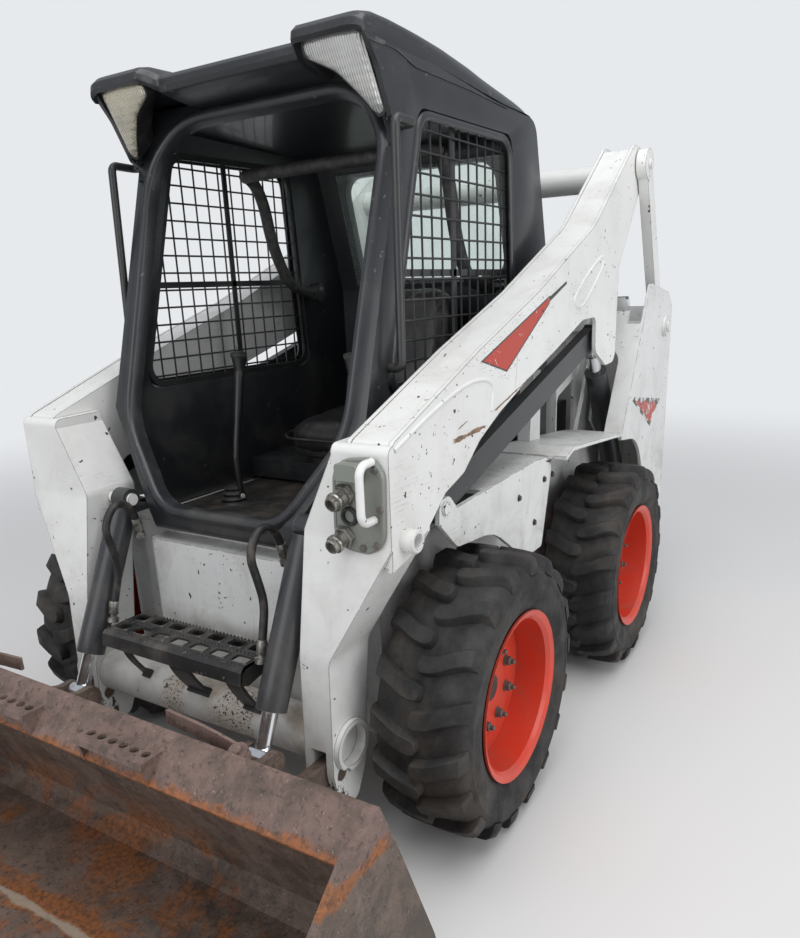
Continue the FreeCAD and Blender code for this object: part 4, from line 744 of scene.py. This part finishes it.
for side, sign in both_sides:
    y = sign * screen_y
    strands = [strand(x, 0, y, wire_rows) for x in np.arange(-0.372, 0.395, 0.0535)]
    strands += [strand(z, 1, y + sign * 0.005, wire_rows) for z in np.arange(1.172, 1.81, 0.0500)]
    strands += [strand(level, axis, y - sign * 0.005, flat_bar(0.009, 0.003))
                for level, axis in ((-0.02, 0), (1.437, 1))]
    rim = along(window_line, 0.02)
    flat_rim = [(-0.018, -0.0045), (0.001, -0.0045), (0.001, 0.0045), (-0.018, 0.0045)]
    strands.append(swept(np.insert(rim, 1, y, axis=1), flat_rim, (0, 1, 0)))
    screen = piece("screen_grid_" + side, *together(*strands), wire_black, "cab", "black_paint", sharp=45)
    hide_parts("side_screen_" + side)
    # A raised bead runs round each window on the outside, where the sheet is pressed in.
    bead_path = np.insert(rim, 1, sign * cab_wall, axis=1)
    bead = [(-0.024, -0.003), (-0.020, 0.0035), (-0.012, 0.005), (-0.005, 0.0025), (-0.001, -0.003)]
    piece("window_bead_" + side, *swept(bead_path, [(a, sign * b) for a, b in bead], (0, 1, 0)), charcoal, "cab",
          "charcoal", sharp=60)

# Floor of the cab: a ribbed black rubber mat on the deck, and a red pull tag on the rear pane.
mat_line = rounded([(0.545, 0.205, 0.05), (0.470, 0.385, 0.03), (-0.30, 0.395, 0.02), (-0.30, -0.395, 0.02),
                    (0.470, -0.385, 0.03), (0.545, -0.205, 0.05)], 5)
mat_rubber, skin = new_material("floor mat rubber", 0.62)
mat_dust = fade(clouds(place_on(), 9.0, 7.0, 0.7), 0.40, 0.70)
join(skin["Base Color"], mixed(mat_dust, (0.012, 0.012, 0.012), (0.085, 0.070, 0.055)))
roughened(skin, step("TexWave", place_on(), 26.0, 0.0, wave_type="BANDS", bands_direction="Y")[1], 0.8, 0.003)
piece("floor_mat", *stacked(mat_line, [(0.7703, 1.0), (0.7740, 1.0), (0.7752, 0.992)], 2, (0.12, 0.0)), mat_rubber,
      "root", "grip_plastic", sharp=40)
tag_red, skin = clouded("pull tag red", (0.55, 0.015, 0.012), (0.30, 0.012, 0.010), 40.0, roughness=0.35)
tag_line = rounded([(0.012, 1.750, 0.006), (-0.030, 1.735, 0.006), (-0.048, 1.798, 0.006)], 4)
piece("pull_tag", *stacked(tag_line, [(-0.506, 0.9), (-0.503, 1.0), (-0.499, 1.0), (-0.496, 0.85)]), tag_red, "cab",
      "rim_red", sharp=45)

# Seat bar: a padded black tube that loops from the side pivots up in front of the head.
bar_line = [(-0.380, 1.400), (-0.290, 1.405), (-0.215, 1.440), (-0.150, 1.560), (-0.125, 1.690), (-0.075, 1.757),
            (-0.020, 1.757)]
bar_path = [(x, 0.345, z) for x, z in bar_line] + [(x, -0.345, z) for x, z in bar_line[::-1]]
bar = piece("seat_bar_padded", *tube(smooth_path(bar_path, 160), 0.0195, facing=(0.93, 0.05, 0.36)), grip_rubber,
            "seat_bar", "grip_plastic", sharp=60)
eyes = turned([(0.012, -0.019), (0.030, -0.019), (0.031, -0.015), (0.031, 0.015), (0.030, 0.019), (0.012, 0.019)],
              [(-0.380, 0.345, 1.400), (-0.380, -0.345, 1.400)], (0, 1, 0), 28)
piece("seat_bar_eyes", *skin_of(eyes), wire_black, "seat_bar", "black_paint")
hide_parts("seat_bar")

# Seat: black vinyl over foam: a cushion and a back, each a crowned pad with a welt round it, on a pan.
vinyl, skin = clouded("black vinyl", (0.012, 0.012, 0.013), (0.060, 0.055, 0.048), 12.0, 6.0, high=0.75,
                      roughness=0.40)
roughened(skin, step("TexVoronoi", place_on(), None, 420.0)[0], 0.5, 0.0008)


def pad_skin(middle, reach, tilt, power=0.42):
    """A rounded block: each coordinate is a half length times sgn(c)|c|**power of a sphere's coordinate,
    tipped about Y and moved to its middle."""
    a = np.linspace(-math.pi / 2, math.pi / 2, 25)[1:-1, None]
    b = np.linspace(0, 2 * math.pi, 64, endpoint=False)[None]

    def soft(value):
        return np.sign(value) * np.abs(value) ** power
    x = reach[0] * soft(np.cos(a)) * soft(np.cos(b))
    y = reach[1] * soft(np.cos(a)) * soft(np.sin(b))
    z = reach[2] * soft(np.sin(a)) * np.ones_like(b)
    x, z = x * math.cos(tilt) + z * math.sin(tilt), z * math.cos(tilt) - x * math.sin(tilt)
    return skin_of((np.stack([x, y, z], axis=-1) + middle)[None])


def puffed(holder, cap):
    """Foam under vinyl: remeshed, blown up as cloth, and no point moved further than the cap."""
    grain = holder.modifiers.new("remesh", "REMESH")
    grain.mode = "VOXEL"
    grain.voxel_size = 0.0065
    mesh = settle(holder)
    start = np.empty(len(mesh.vertices) * 3, np.float32)
    mesh.vertices.foreach_get("co", start)
    cloth = holder.modifiers.new("cloth", "CLOTH")
    cloth.settings.use_pressure = True
    cloth.settings.uniform_pressure_force = 4.0
    cloth.settings.effector_weights.gravity = 0.0
    for moment in range(1, 21):
        scene.frame_set(moment)
    blown = bpy.data.meshes.new_from_object(holder.evaluated_get(bpy.context.evaluated_depsgraph_get()))
    holder.modifiers.clear()
    scene.frame_set(1)
    moved = np.empty_like(start)
    blown.vertices.foreach_get("co", moved)
    shift = (moved - start).reshape(-1, 3)
    length = np.linalg.norm(shift, axis=1, keepdims=True)
    shift = shift * np.minimum(1, cap / np.maximum(length, 1e-6))
    mesh.vertices.foreach_set("co", (start.reshape(-1, 3) + shift).astype(np.float32).ravel())
    finished(mesh, vinyl)


seat_cushion = piece("seat_cushion", *pad_skin((-0.155, 0, 0.952), (0.208, 0.218, 0.044), 0.06), vinyl, "cab", "vinyl")
puffed(seat_cushion, 0.012)
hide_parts("seat")
seat_back = piece("seat_back", *pad_skin((-0.405, 0, 1.215), (0.040, 0.200, 0.196), -0.27), vinyl, "cab", "vinyl")
puffed(seat_back, 0.012)

cushion_edge = along(rounded([(0.058, 0.226, 0.09), (0.058, -0.226, 0.09), (-0.368, -0.222, 0.07),
                              (-0.368, 0.222, 0.07)]), 0.02)
piece("cushion_welt", *tube(np.column_stack([cushion_edge, 0.960 - 0.06 * (cushion_edge[:, 0] + 0.155)]), 0.0045, 8,
                            closed=True, facing=(0, 0, 1)), vinyl, "cab", "vinyl", sharp=60)
pan_line = along(rounded([(0.02, 0.20, 0.05), (0.02, -0.20, 0.05), (-0.34, -0.20, 0.05), (-0.34, 0.20, 0.05)]), 0.02)
pan_rows = [(0.8505, 0.80), (0.872, 0.80), (0.884, 0.98), (0.888, 1.0), (0.915, 1.0), (0.922, 0.97)]
piece("seat_pan_cover", *stacked(pan_line, pan_rows, 2, (-0.16, 0.0)), wire_black, "cab", "vinyl", sharp=45)

# Rear pane: pale tempered glass in a rubber channel.
pane_glass, skin = new_material("cab glass", 0.04, Metallic=0.0, Transmission_Weight=0.92, IOR=1.45)
smears = fade(clouds(place_on((1.0, 3.0, 1.0)), 6.0, 6.0), 0.4, 0.8)
join(skin["Base Color"], mixed(smears, (0.80, 0.90, 0.86), (0.72, 0.80, 0.76)))
join(skin["Roughness"], fade(smears, 0.0, 1.0, 0.03, 0.16))
dress(pane_glass, "rear_window")

# Boom: box-section arms of pressed plate with their edges rolled, welded to cast legs, tied by tubes.
# A tapered red-orange stripe with black edges is stuck on each; the paint is rubbed to brown rust below it.
stripe = [(0.226, 1.222), (-0.215, 1.360), (-0.218, 1.349), (0.085, 1.185)]
tail = [(-0.205, 1.357), (-0.352, 1.402), (-0.356, 1.396), (-0.207, 1.346)]


def arm_marks(spot, base):
    """The stripe with its torn edge, the rubs below it, and the paint knocked off the legs' feet."""
    out = outer_side(spot, 0.612)
    torn = fade(clouds(spot, 38.0, 4.0, 0.7), 0.33, 0.36)
    black = most(inside(spot, stripe, 0.0045), inside(spot, tail, 0.001))
    ragged = fade(clouds(place_on((3.0, 1.0, 9.0)), 30.0, 5.0, 0.7), 0.50, 0.53)
    lines = times(inside(spot, stripe, 0.028), ragged)
    lines = times(lines, fade(clouds(place_on((2.0, 1.0, 14.0)), 24.0, 3.0, 0.6), 0.60, 0.62))
    base = mixed(times(most(times(black, torn), lines), out), base, (0.022, 0.02, 0.02))
    red = times(inside(spot, stripe), torn, out)
    base = mixed(red, base, (0.44, 0.030, 0.010))
    rubbed = 0.0
    for start, end, width in (((0.400, 1.051), (0.205, 1.060), 0.011), ((0.170, 1.088), (-0.148, 1.166), 0.006),
                              ((0.03, 1.124), (0.01, 1.24), 0.0016), ((0.375, 1.075), (0.31, 1.09), 0.004)):
        one = scrape(spot, start, end, width)
        rubbed = one if rubbed == 0.0 else most(rubbed, one)
    rust = mixed(fade(clouds(spot, 60.0, 4.0, 0.6), 0.4, 0.6), (0.10, 0.050, 0.022), (0.26, 0.15, 0.075))
    base = mixed(times(rubbed, out), base, rust)
    place = step("SeparateXYZ", spot)
    foot = fade(place["Z"], 0.42, 0.17, 0.0, 0.33)
    ahead = fade(place["X"], 0.66, 0.70)
    knocked = plus(clouds(place_on((1.0, 1.0, 0.6)), 46.0, 6.0, 0.75), times(foot, ahead))
    base = mixed(fade(knocked, 0.755, 0.775), base, (0.035, 0.03, 0.027))
    return base


arm_white = painted("white arm paint", (0.76, 0.76, 0.735), (0.05, 0.04, 0.035), dirt=0.32, wear=0.6, scratch=0.35,
                    chip=1.0, marks=arm_marks)
dress(arm_white, "boom_arm_left", "boom_arm_right", "boom_cross_tube", "boom_handle")


def tube_marks(spot, base):
    """Two clusters of dark chips on the tube's front, with rust round them, where the bucket has struck it."""
    place = step("SeparateXYZ", spot)
    broken = fade(clouds(spot, 150.0, 2.0, 0.6, 0.3), 0.560, 0.585)
    ragged = times(clouds(spot, 20.0, 5.0, 0.7), 0.16)
    for middle, reach in ((-0.085, 0.135), (0.142, 0.165)):
        away = unsigned(less(place["Y"], middle))
        crowd = fade(plus(away, ragged), reach, reach - 0.035)
        base = mixed(times(crowd, 0.35), base, (0.50, 0.36, 0.22))
        base = mixed(times(crowd, broken), base, (0.055, 0.038, 0.028))
    return base


tube_white = painted("white tube paint", (0.74, 0.73, 0.70), (0.04, 0.03, 0.025), film=(0.30, 0.20, 0.11), dirt=0.55,
                     wear=0.5, scratch=0.3, chip=1.0, marks=tube_marks)
dress(tube_white, "torque_tube")
arm_face = 0.617
rib_section = [(-0.0075, -0.002), (-0.004, 0.0025), (0.0, 0.0038), (0.004, 0.0025), (0.0075, -0.002)]
lower_rib = smooth_path([(0.655, 1.080), (0.520, 1.128), (0.325, 1.180), (0.205, 1.178), (0.165, 1.150),
                         (0.182, 1.092)], 70)
upper_rib = along(smooth_path([(-0.44, 1.330), (-0.50, 1.318), (-0.60, 1.375), (-0.70, 1.445), (-0.72, 1.475),
                               (-0.68, 1.478), (-0.55, 1.425), (-0.44, 1.362), (-0.42, 1.340), (-0.44, 1.330)],
                              90)[:-1], 0.012)
for side, sign in both_sides:
    low, high = (np.insert(rib, 1, sign * arm_face, axis=1) for rib in (lower_rib, upper_rib))
    ribs = together(swept(low, rib_section, (0, sign, 0), closed=False), swept(high, rib_section, (0, sign, 0)))
    piece("arm_ribs_" + side, *ribs, arm_white, "boom", "arm_white", sharp=60)
    # A plain tube end and a smaller pin end stand out of the head, under the couplers.
    ring_place = (0.621, sign * 0.612, 0.877)
    ring = turned([(0.0165, -0.010), (0.0165, 0.034), (0.0185, 0.037), (0.0245, 0.037), (0.027, 0.034),
                   (0.0275, -0.020), (0.0165, -0.020)], ring_place, (0, sign, 0), 40)
    piece("head_ring_" + side, *skin_of(ring, ends=False), arm_white, "boom", "arm_white")
    bore = turned([(0.017, 0.004), (0.0001, 0.004)], ring_place, (0, sign, 0), 40)
    piece("head_ring_bore_" + side, *skin_of(bore, ends=False), black_paint, "boom", "black_paint")

# Step: pressed black plate on the torque tube, two rows of round-cornered holes with teeth round them,
# a folded front lip, and flat bars bent down to the tube and bolted there.
step_black = painted("step black", (0.014, 0.014, 0.015), (0.13, 0.115, 0.10), film=(0.13, 0.115, 0.095), dirt=0.5,
                     wear=0.45, radius=0.002, scratch=0.3, roughness=0.45, low=0.3, high=1.0, chip=0.6)
edge_run = np.linspace(-1, 1, 9)[:-1]
square = np.concatenate([np.column_stack([edge_run, -np.ones(8)]), np.column_stack([np.ones(8), edge_run]),
                         np.column_stack([-edge_run, np.ones(8)]), np.column_stack([-np.ones(8), -edge_run])])
hole = square / (np.abs(square) ** 5).sum(axis=1, keepdims=True) ** 0.2
cells = []
for row in range(2):
    for column in range(7):
        middle = np.array([0.687 + row * 0.062, (column - 3) * 0.0710])
        outer = middle + square * (0.031, 0.0355)
        ring = middle + hole * (0.0175, 0.0245)
        rim_ring = middle + hole * (0.0205, 0.0275)
        stack = [(outer, 0.547), (outer, 0.552), (rim_ring, 0.552), (ring, 0.5555),
                 (ring - (ring - middle) * 0.04, 0.549), (rim_ring, 0.547), (outer, 0.547)]
        cells.append([np.insert(xy, 2, z, axis=1) for xy, z in stack])
tread = skin_of(np.array(cells), ends=False)
teeth_y = np.arange(-0.243, 0.244, 0.0125)
teeth = np.concatenate([np.column_stack([np.full(len(teeth_y), x), teeth_y, np.full(len(teeth_y), 0.551)])
                        for x in (0.660, 0.718, 0.777)])
tooth = [(0.0040, 0.0), (0.0034, 0.003), (0.0012, 0.0075), (0.0001, 0.0078)]
lip_line = np.array([(0.775, 0.552), (0.786, 0.5515), (0.7935, 0.545), (0.7985, 0.511), (0.7935, 0.510),
                     (0.7885, 0.542), (0.784, 0.5465), (0.775, 0.547)])
back_line = np.array([(0.657, 0.552), (0.6565, 0.522), (0.6605, 0.522), (0.661, 0.547)])
lips = [stacked(line, [(-0.2485, 1.0), (0.2485, 1.0)], 1) for line in (lip_line, back_line)]
flange = rounded([(0.657, 0.552, 0.003), (0.657, 0.520, 0.008), (0.770, 0.500, 0.010), (0.798, 0.512, 0.004),
                  (0.786, 0.552, 0.008)], 4)
lips += [stacked(flange, [(y, 1.0), (y + 0.005, 1.0)], 1) for y in (-0.2485, 0.2435)]
for y, wide in ((0.015, 0.036), (-0.185, 0.012), (0.205, 0.026)):
    drop = smooth_path([(0.778, y, 0.548), (0.776, y, 0.500), (0.758, y, 0.462), (0.7215, y, 0.4085)], 20, 3)
    lips.append(swept(drop, flat_bar(0.004, wide), (0, 1, 0), closed=False))
    foot = np.array([(0.7215, y, 0.4085), (0.7145, y, 0.4005)])
    lips.append(swept(foot, flat_bar(0.012, wide), (0, 1, 0), closed=False))
step_piece = piece("step_pressed", *together(tread, skin_of(turned(tooth, teeth, (0, 0, 1), 4)), *lips), step_black,
                   "boom", "black_paint", sharp=30)
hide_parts("boom_step")

# Couplers: a grey-green cast plate screwed to the left head, with two hydraulic couplings and a port.
coupler_steel = painted("coupler steel", (0.22, 0.235, 0.205), (0.10, 0.09, 0.08), film=(0.13, 0.125, 0.10), dirt=0.7,
                        wear=0.5, radius=0.002, roughness=0.38, low=0.5, high=1.4)
coupling_steel, skin = clouded("coupling steel", (0.36, 0.35, 0.32), (0.13, 0.12, 0.10), 45.0, 5.0, Metallic=0.85)
join(skin["Roughness"], fade(clouds(place_on(), 60.0, 4.0), 0.35, 0.7, 0.22, 0.6))
plate_line = rounded([(0.612, 1.074, 0.045), (0.605, 0.852, 0.055), (0.474, 0.862, 0.050), (0.480, 1.060, 0.055)])
plate_rows = [(0.6795, 1.0), (0.688, 1.0), (0.6915, 0.965), (0.6915, 0.88), (0.6895, 0.86)]
block = piece("coupler_plate_cast", *stacked(plate_line, plate_rows), coupler_steel, "boom", "coupler_steel", sharp=40)
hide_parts("coupler_block")
hex_turn = [(0.0001, 0.0), (0.026, 0.0), (0.026, 0.012), (0.024, 0.014), (0.0001, 0.014)]
nose = [(0.0185, 0.012), (0.0185, 0.030), (0.0205, 0.031), (0.0215, 0.034), (0.0215, 0.040), (0.0205, 0.042),
        (0.0165, 0.043), (0.0165, 0.051), (0.015, 0.053), (0.0125, 0.053), (0.0115, 0.049), (0.0115, 0.040),
        (0.0001, 0.040)]
port = [(0.0215, -0.004), (0.0215, 0.004), (0.019, 0.007), (0.0145, 0.007), (0.0135, 0.004), (0.0135, -0.002),
        (0.0001, -0.002)]
pointing = (0.955, -0.10, -0.28)
couplings = [(0.688, 0.512, 0.987), (0.688, 0.506, 0.893)]
piece("coupling_bases", *skin_of(turned(hex_turn, couplings, pointing, 6)), coupling_steel, "boom", "coupler_steel",
      sharp=30)
piece("coupling_noses", *skin_of(turned(nose, couplings, pointing, 32)), coupling_steel, "boom", "coupler_steel")
piece("coupling_port", *skin_of(turned(port, [(0.691, 0.521, 0.938)], (1, 0, 0), 32)), grip_rubber, "boom",
      "coupler_steel")
valve_line = rounded([(0.566, 1.058, 0.008), (0.566, 1.020, 0.008), (0.505, 1.020, 0.008), (0.505, 1.058, 0.008)], 5)
piece("coupling_valve", *stacked(valve_line, [(0.688, 1.0), (0.716, 1.0), (0.719, 0.9)]), coupler_steel, "boom",
      "coupler_steel", sharp=35)
screw = [(0.0001, 0.0), (0.0085, 0.0), (0.0085, 0.005), (0.0075, 0.0065), (0.0001, 0.0065)]
screw_places = [(0.6905, y, z) for y, z in ((0.590, 1.045), (0.588, 0.880), (0.600, 0.960), (0.552, 0.870))]
piece("coupler_screws", *skin_of(turned(screw, screw_places, (1, 0, 0), 6)), nut_steel, "boom", "coupler_steel")

# Bolts: hex heads with washers where the frames are fixed.
bolt_rows = 0.0085 * np.array([(0.012, 0.0), (1.25, 0.0), (1.25, 0.16), (0.95, 0.18), (0.95, 0.7), (0.8, 0.82),
                               (0.012, 0.82)])
frame_bolts = [(-0.013, 0.812), (-0.130, 0.707), (-0.207, 0.824), (-0.275, 0.825)]
for side, sign in both_sides:
    spots = [(x, sign * 0.6115, z) for x, z in frame_bolts]
    piece("frame_bolts_" + side, *skin_of(turned(bolt_rows, spots, (0, sign, 0), 12)), black_paint, "root",
          "black_paint", sharp=30)

# Tailgate fittings, not seen in the photo and taken from such machines: two red lamps in black rims
# and a paddle latch in a shallow cup.
tail_red, skin = new_material("tail lamp red", 0.22, Base_Color=(0.34, 0.010, 0.008, 1.0), Coat_Weight=0.6)
gate_face = -1.680


def on_gate(middle, half, corner, rows):
    """A rounded block on the tailgate's face, its outline shrunk by a share at each row's height."""
    (y, z), (wide, tall) = middle, half
    line = rounded([(y + wide, z + tall, corner), (y - wide, z + tall, corner), (y - wide, z - tall, corner),
                    (y + wide, z - tall, corner)], 5)
    return stacked(line, [(gate_face - height, share) for share, height in rows], 0, middle)


for side, sign in both_sides:
    spot = np.array([sign * 0.352, 1.185])
    piece("tail_lamp_" + side, *on_gate(spot, (0.055, 0.030), 0.012, [(1.0, 0.001), (1.0, 0.008), (0.92, 0.011)]),
          tail_red, "tailgate", "clear_lens", sharp=35)
    piece("tail_lamp_rim_" + side, *on_gate(spot, (0.062, 0.037), 0.016, [(1.0, -0.004), (1.0, 0.004), (0.93, 0.006)]),
          black_paint, "tailgate", "black_paint", sharp=35)
spot = np.array([0.395, 0.930])
cup = on_gate(spot, (0.030, 0.062), 0.014, [(1.0, -0.004), (1.0, 0.004), (0.90, 0.005)])
paddle = on_gate(spot, (0.018, 0.046), 0.008, [(1.0, 0.003), (1.0, 0.010), (0.88, 0.013)])
piece("gate_latch", *together(cup, paddle), black_paint, "tailgate", "black_paint", sharp=35)

# Links: the lower ones are black bars, the tall rear ones white plates over round bosses.
dress(charcoal, "control_link_left", "control_link_right")
dress(arm_white, "rear_link_left", "rear_link_right")

# Cylinders: dark grey barrels with chromed rods.
barrel_grey = painted("barrel grey", (0.026, 0.028, 0.031), (0.16, 0.14, 0.12), film=(0.12, 0.10, 0.08), dirt=0.4,
                      wear=0.45, scratch=0.5, roughness=0.4, chip=0.5, low=0.2, high=1.0)
dress(barrel_grey, "lift_barrel_left", "lift_barrel_right", "tilt_barrel_left", "tilt_barrel_right")
chrome, skin = clouded("chromed rod", (0.72, 0.73, 0.75), (0.45, 0.40, 0.34), 30.0, 5.0, 0.5, 0.8, Metallic=1.0)
join(skin["Roughness"], fade(clouds(place_on(), 18.0), 0.3, 0.7, 0.08, 0.28))
dress(chrome, "lift_rod_left", "lift_rod_right", "tilt_rod_left", "tilt_rod_right")

# Hoses: black rubber over wire braid, from each tilt barrel's port up and over to a fitting on the boom.
hose_rubber, skin = clouded("hose rubber", (0.012, 0.012, 0.013), (0.075, 0.062, 0.048), 25.0, 5.0, 0.45, 0.75)
roughened(skin, clouds(place_on(), 300.0, 3.0), 0.4, 0.0006)
crimp_rows = [(0.0001, -0.030), (0.0125, -0.030), (0.0132, -0.026), (0.0132, 0.004), (0.0125, 0.006), (0.0095, 0.007),
              (0.0095, 0.014), (0.0150, 0.015), (0.0150, 0.028), (0.0001, 0.028)]
hose_route = [(0.735, 0.268, 0.580), (0.720, 0.266, 0.630), (0.702, 0.262, 0.690), (0.712, 0.258, 0.750),
              (0.734, 0.256, 0.826), (0.684, 0.256, 0.884), (0.628, 0.258, 0.850), (0.618, 0.262, 0.790)]
for side, sign in both_sides:
    line = bpy.data.curves.new("tilt_hose_" + side, "CURVE")
    line.dimensions = "3D"
    line.bevel_depth = 0.0105
    line.bevel_resolution = 4
    line.resolution_u = 16
    line.use_fill_caps = True
    run = line.splines.new("NURBS")
    run.points.add(len(hose_route) - 1)
    for point, (x, y, z) in zip(run.points, hose_route):
        point.co = (x, sign * y, z, 1)
    run.order_u = 3
    run.use_endpoint_u = True
    line.materials.append(hose_rubber)
    hose = bpy.data.objects.new("tilt_hose_" + side, line)
    carried(hose, "boom")
    crimps = [skin_of(turned(crimp_rows, np.array(place) * (1, sign, 1), np.array(aim) * (1, sign, 1), 24))
              for place, aim in ((hose_route[0], (0.23, 0.0, -0.97)), (hose_route[-1], (-0.18, 0.07, -0.98)))]
    ends = piece("hose_crimps_" + side, *together(*crimps), coupling_steel, "boom", "coupler_steel", sharp=35)

# Bucket: bare steel plate, worn to a pinkish brown, mottled with darker scale and pale grit, and orange
# with fresh rust along its folds and where water lies on the floor.
bucket_steel, skin = new_material("worn bucket steel", 0.5)
spot = place_on()
place = step("SeparateXYZ", spot)
broad = clouds(spot, 2.6, 8.0, 0.7, 0.5)
middling = clouds(spot, 13.0, 8.0, 0.72, 0.3)
fine = clouds(spot, 70.0, 6.0, 0.75)
base = mixed(fade(broad, 0.35, 0.65), (0.060, 0.044, 0.033), (0.130, 0.088, 0.068))
base = mixed(times(fade(middling, 0.42, 0.62), 0.7), base, (0.175, 0.125, 0.100))
upper = fade(place["Z"], 0.46, 0.49, 0.0, 0.55)
base = mixed(times(upper, fade(middling, 0.30, 0.60)), base, (0.210, 0.128, 0.112))
base = mixed(times(fade(fine, 0.52, 0.66), 0.75), base, (0.035, 0.024, 0.019))
streaks = clouds(place_on((1.4, 9.0, 1.4)), 7.0, 6.0, 0.75)
base = mixed(times(fade(streaks, 0.56, 0.72), 0.35), base, (0.27, 0.22, 0.185))


def fold(across, at, width):
    """One along a fold, at a place across it, with a ragged edge."""
    away = unsigned(less(across, at))
    ragged = times(clouds(place_on((1.0, 0.5, 1.0)), 16.0, 6.0, 0.75), width * 2.6)
    return fade(less(less(ragged, width * 0.55), away), 0.0, width * 0.5)


upper_fold = times(fold(place["Z"], 0.482, 0.026), fade(place["X"], 1.03, 1.06))
heel_line = times(fold(place["X"], 1.165, 0.075), fade(place["Z"], 0.20, 0.12))
puddle = times(fade(clouds(spot, 3.3, 8.0, 0.7, 0.5), 0.50, 0.60), fade(place["Z"], 0.22, 0.05))
orange = most(upper_fold, heel_line, times(puddle, 0.9))
rust = mixed(fade(fine, 0.40, 0.62), (0.30, 0.095, 0.018), (0.125, 0.045, 0.016))
base = mixed(times(orange, 0.85), base, rust)
pale = times(fold(place["X"], 1.185, 0.018), fade(place["Z"], 0.16, 0.09))
grit = times(fade(clouds(spot, 170.0, 2.0, 0.6), 0.66, 0.72), fade(broad, 0.35, 0.6, 0.25, 0.9))
base = mixed(most(times(pale, 0.8), grit), base, (0.36, 0.305, 0.235))
join(skin["Base Color"], base)
bright = times(fade(streaks, 0.60, 0.78), 0.4)
join(skin["Metallic"], bright)
join(skin["Roughness"], fade(middling, 0.3, 0.7, 0.50, 0.78))
roughened(skin, plus(clouds(spot, 45.0, 8.0, 0.75), times(middling, 1.5)), 0.8, 0.0028)
dress(bucket_steel, "bucket", "quick_attach")

# Bucket latches: two bent flat bars behind the rim, each turned on a bolt, that lock the bucket on.
for side, sign in both_sides:
    lever_path = smooth_path([(1.022, sign * 0.256, 0.556), (1.027, sign * 0.371, 0.552),
                              (1.024, sign * 0.452, 0.534)], 24, 3)
    lever_bar = swept(lever_path, flat_bar(0.004, 0.016), (0, 0, 1), closed=False)
    boss = turned([(0.0001, -0.058), (0.012, -0.058), (0.012, -0.012), (0.022, -0.012), (0.022, 0.010), (0.013, 0.011),
                   (0.013, 0.020), (0.0001, 0.020)], [(1.030, sign * 0.462, 0.532)], (0.4, 0, 0.92), 20)
    piece("latch_lever_" + side, *together(lever_bar, skin_of(boss)), bucket_steel, "bucket", "worn_steel", sharp=35)
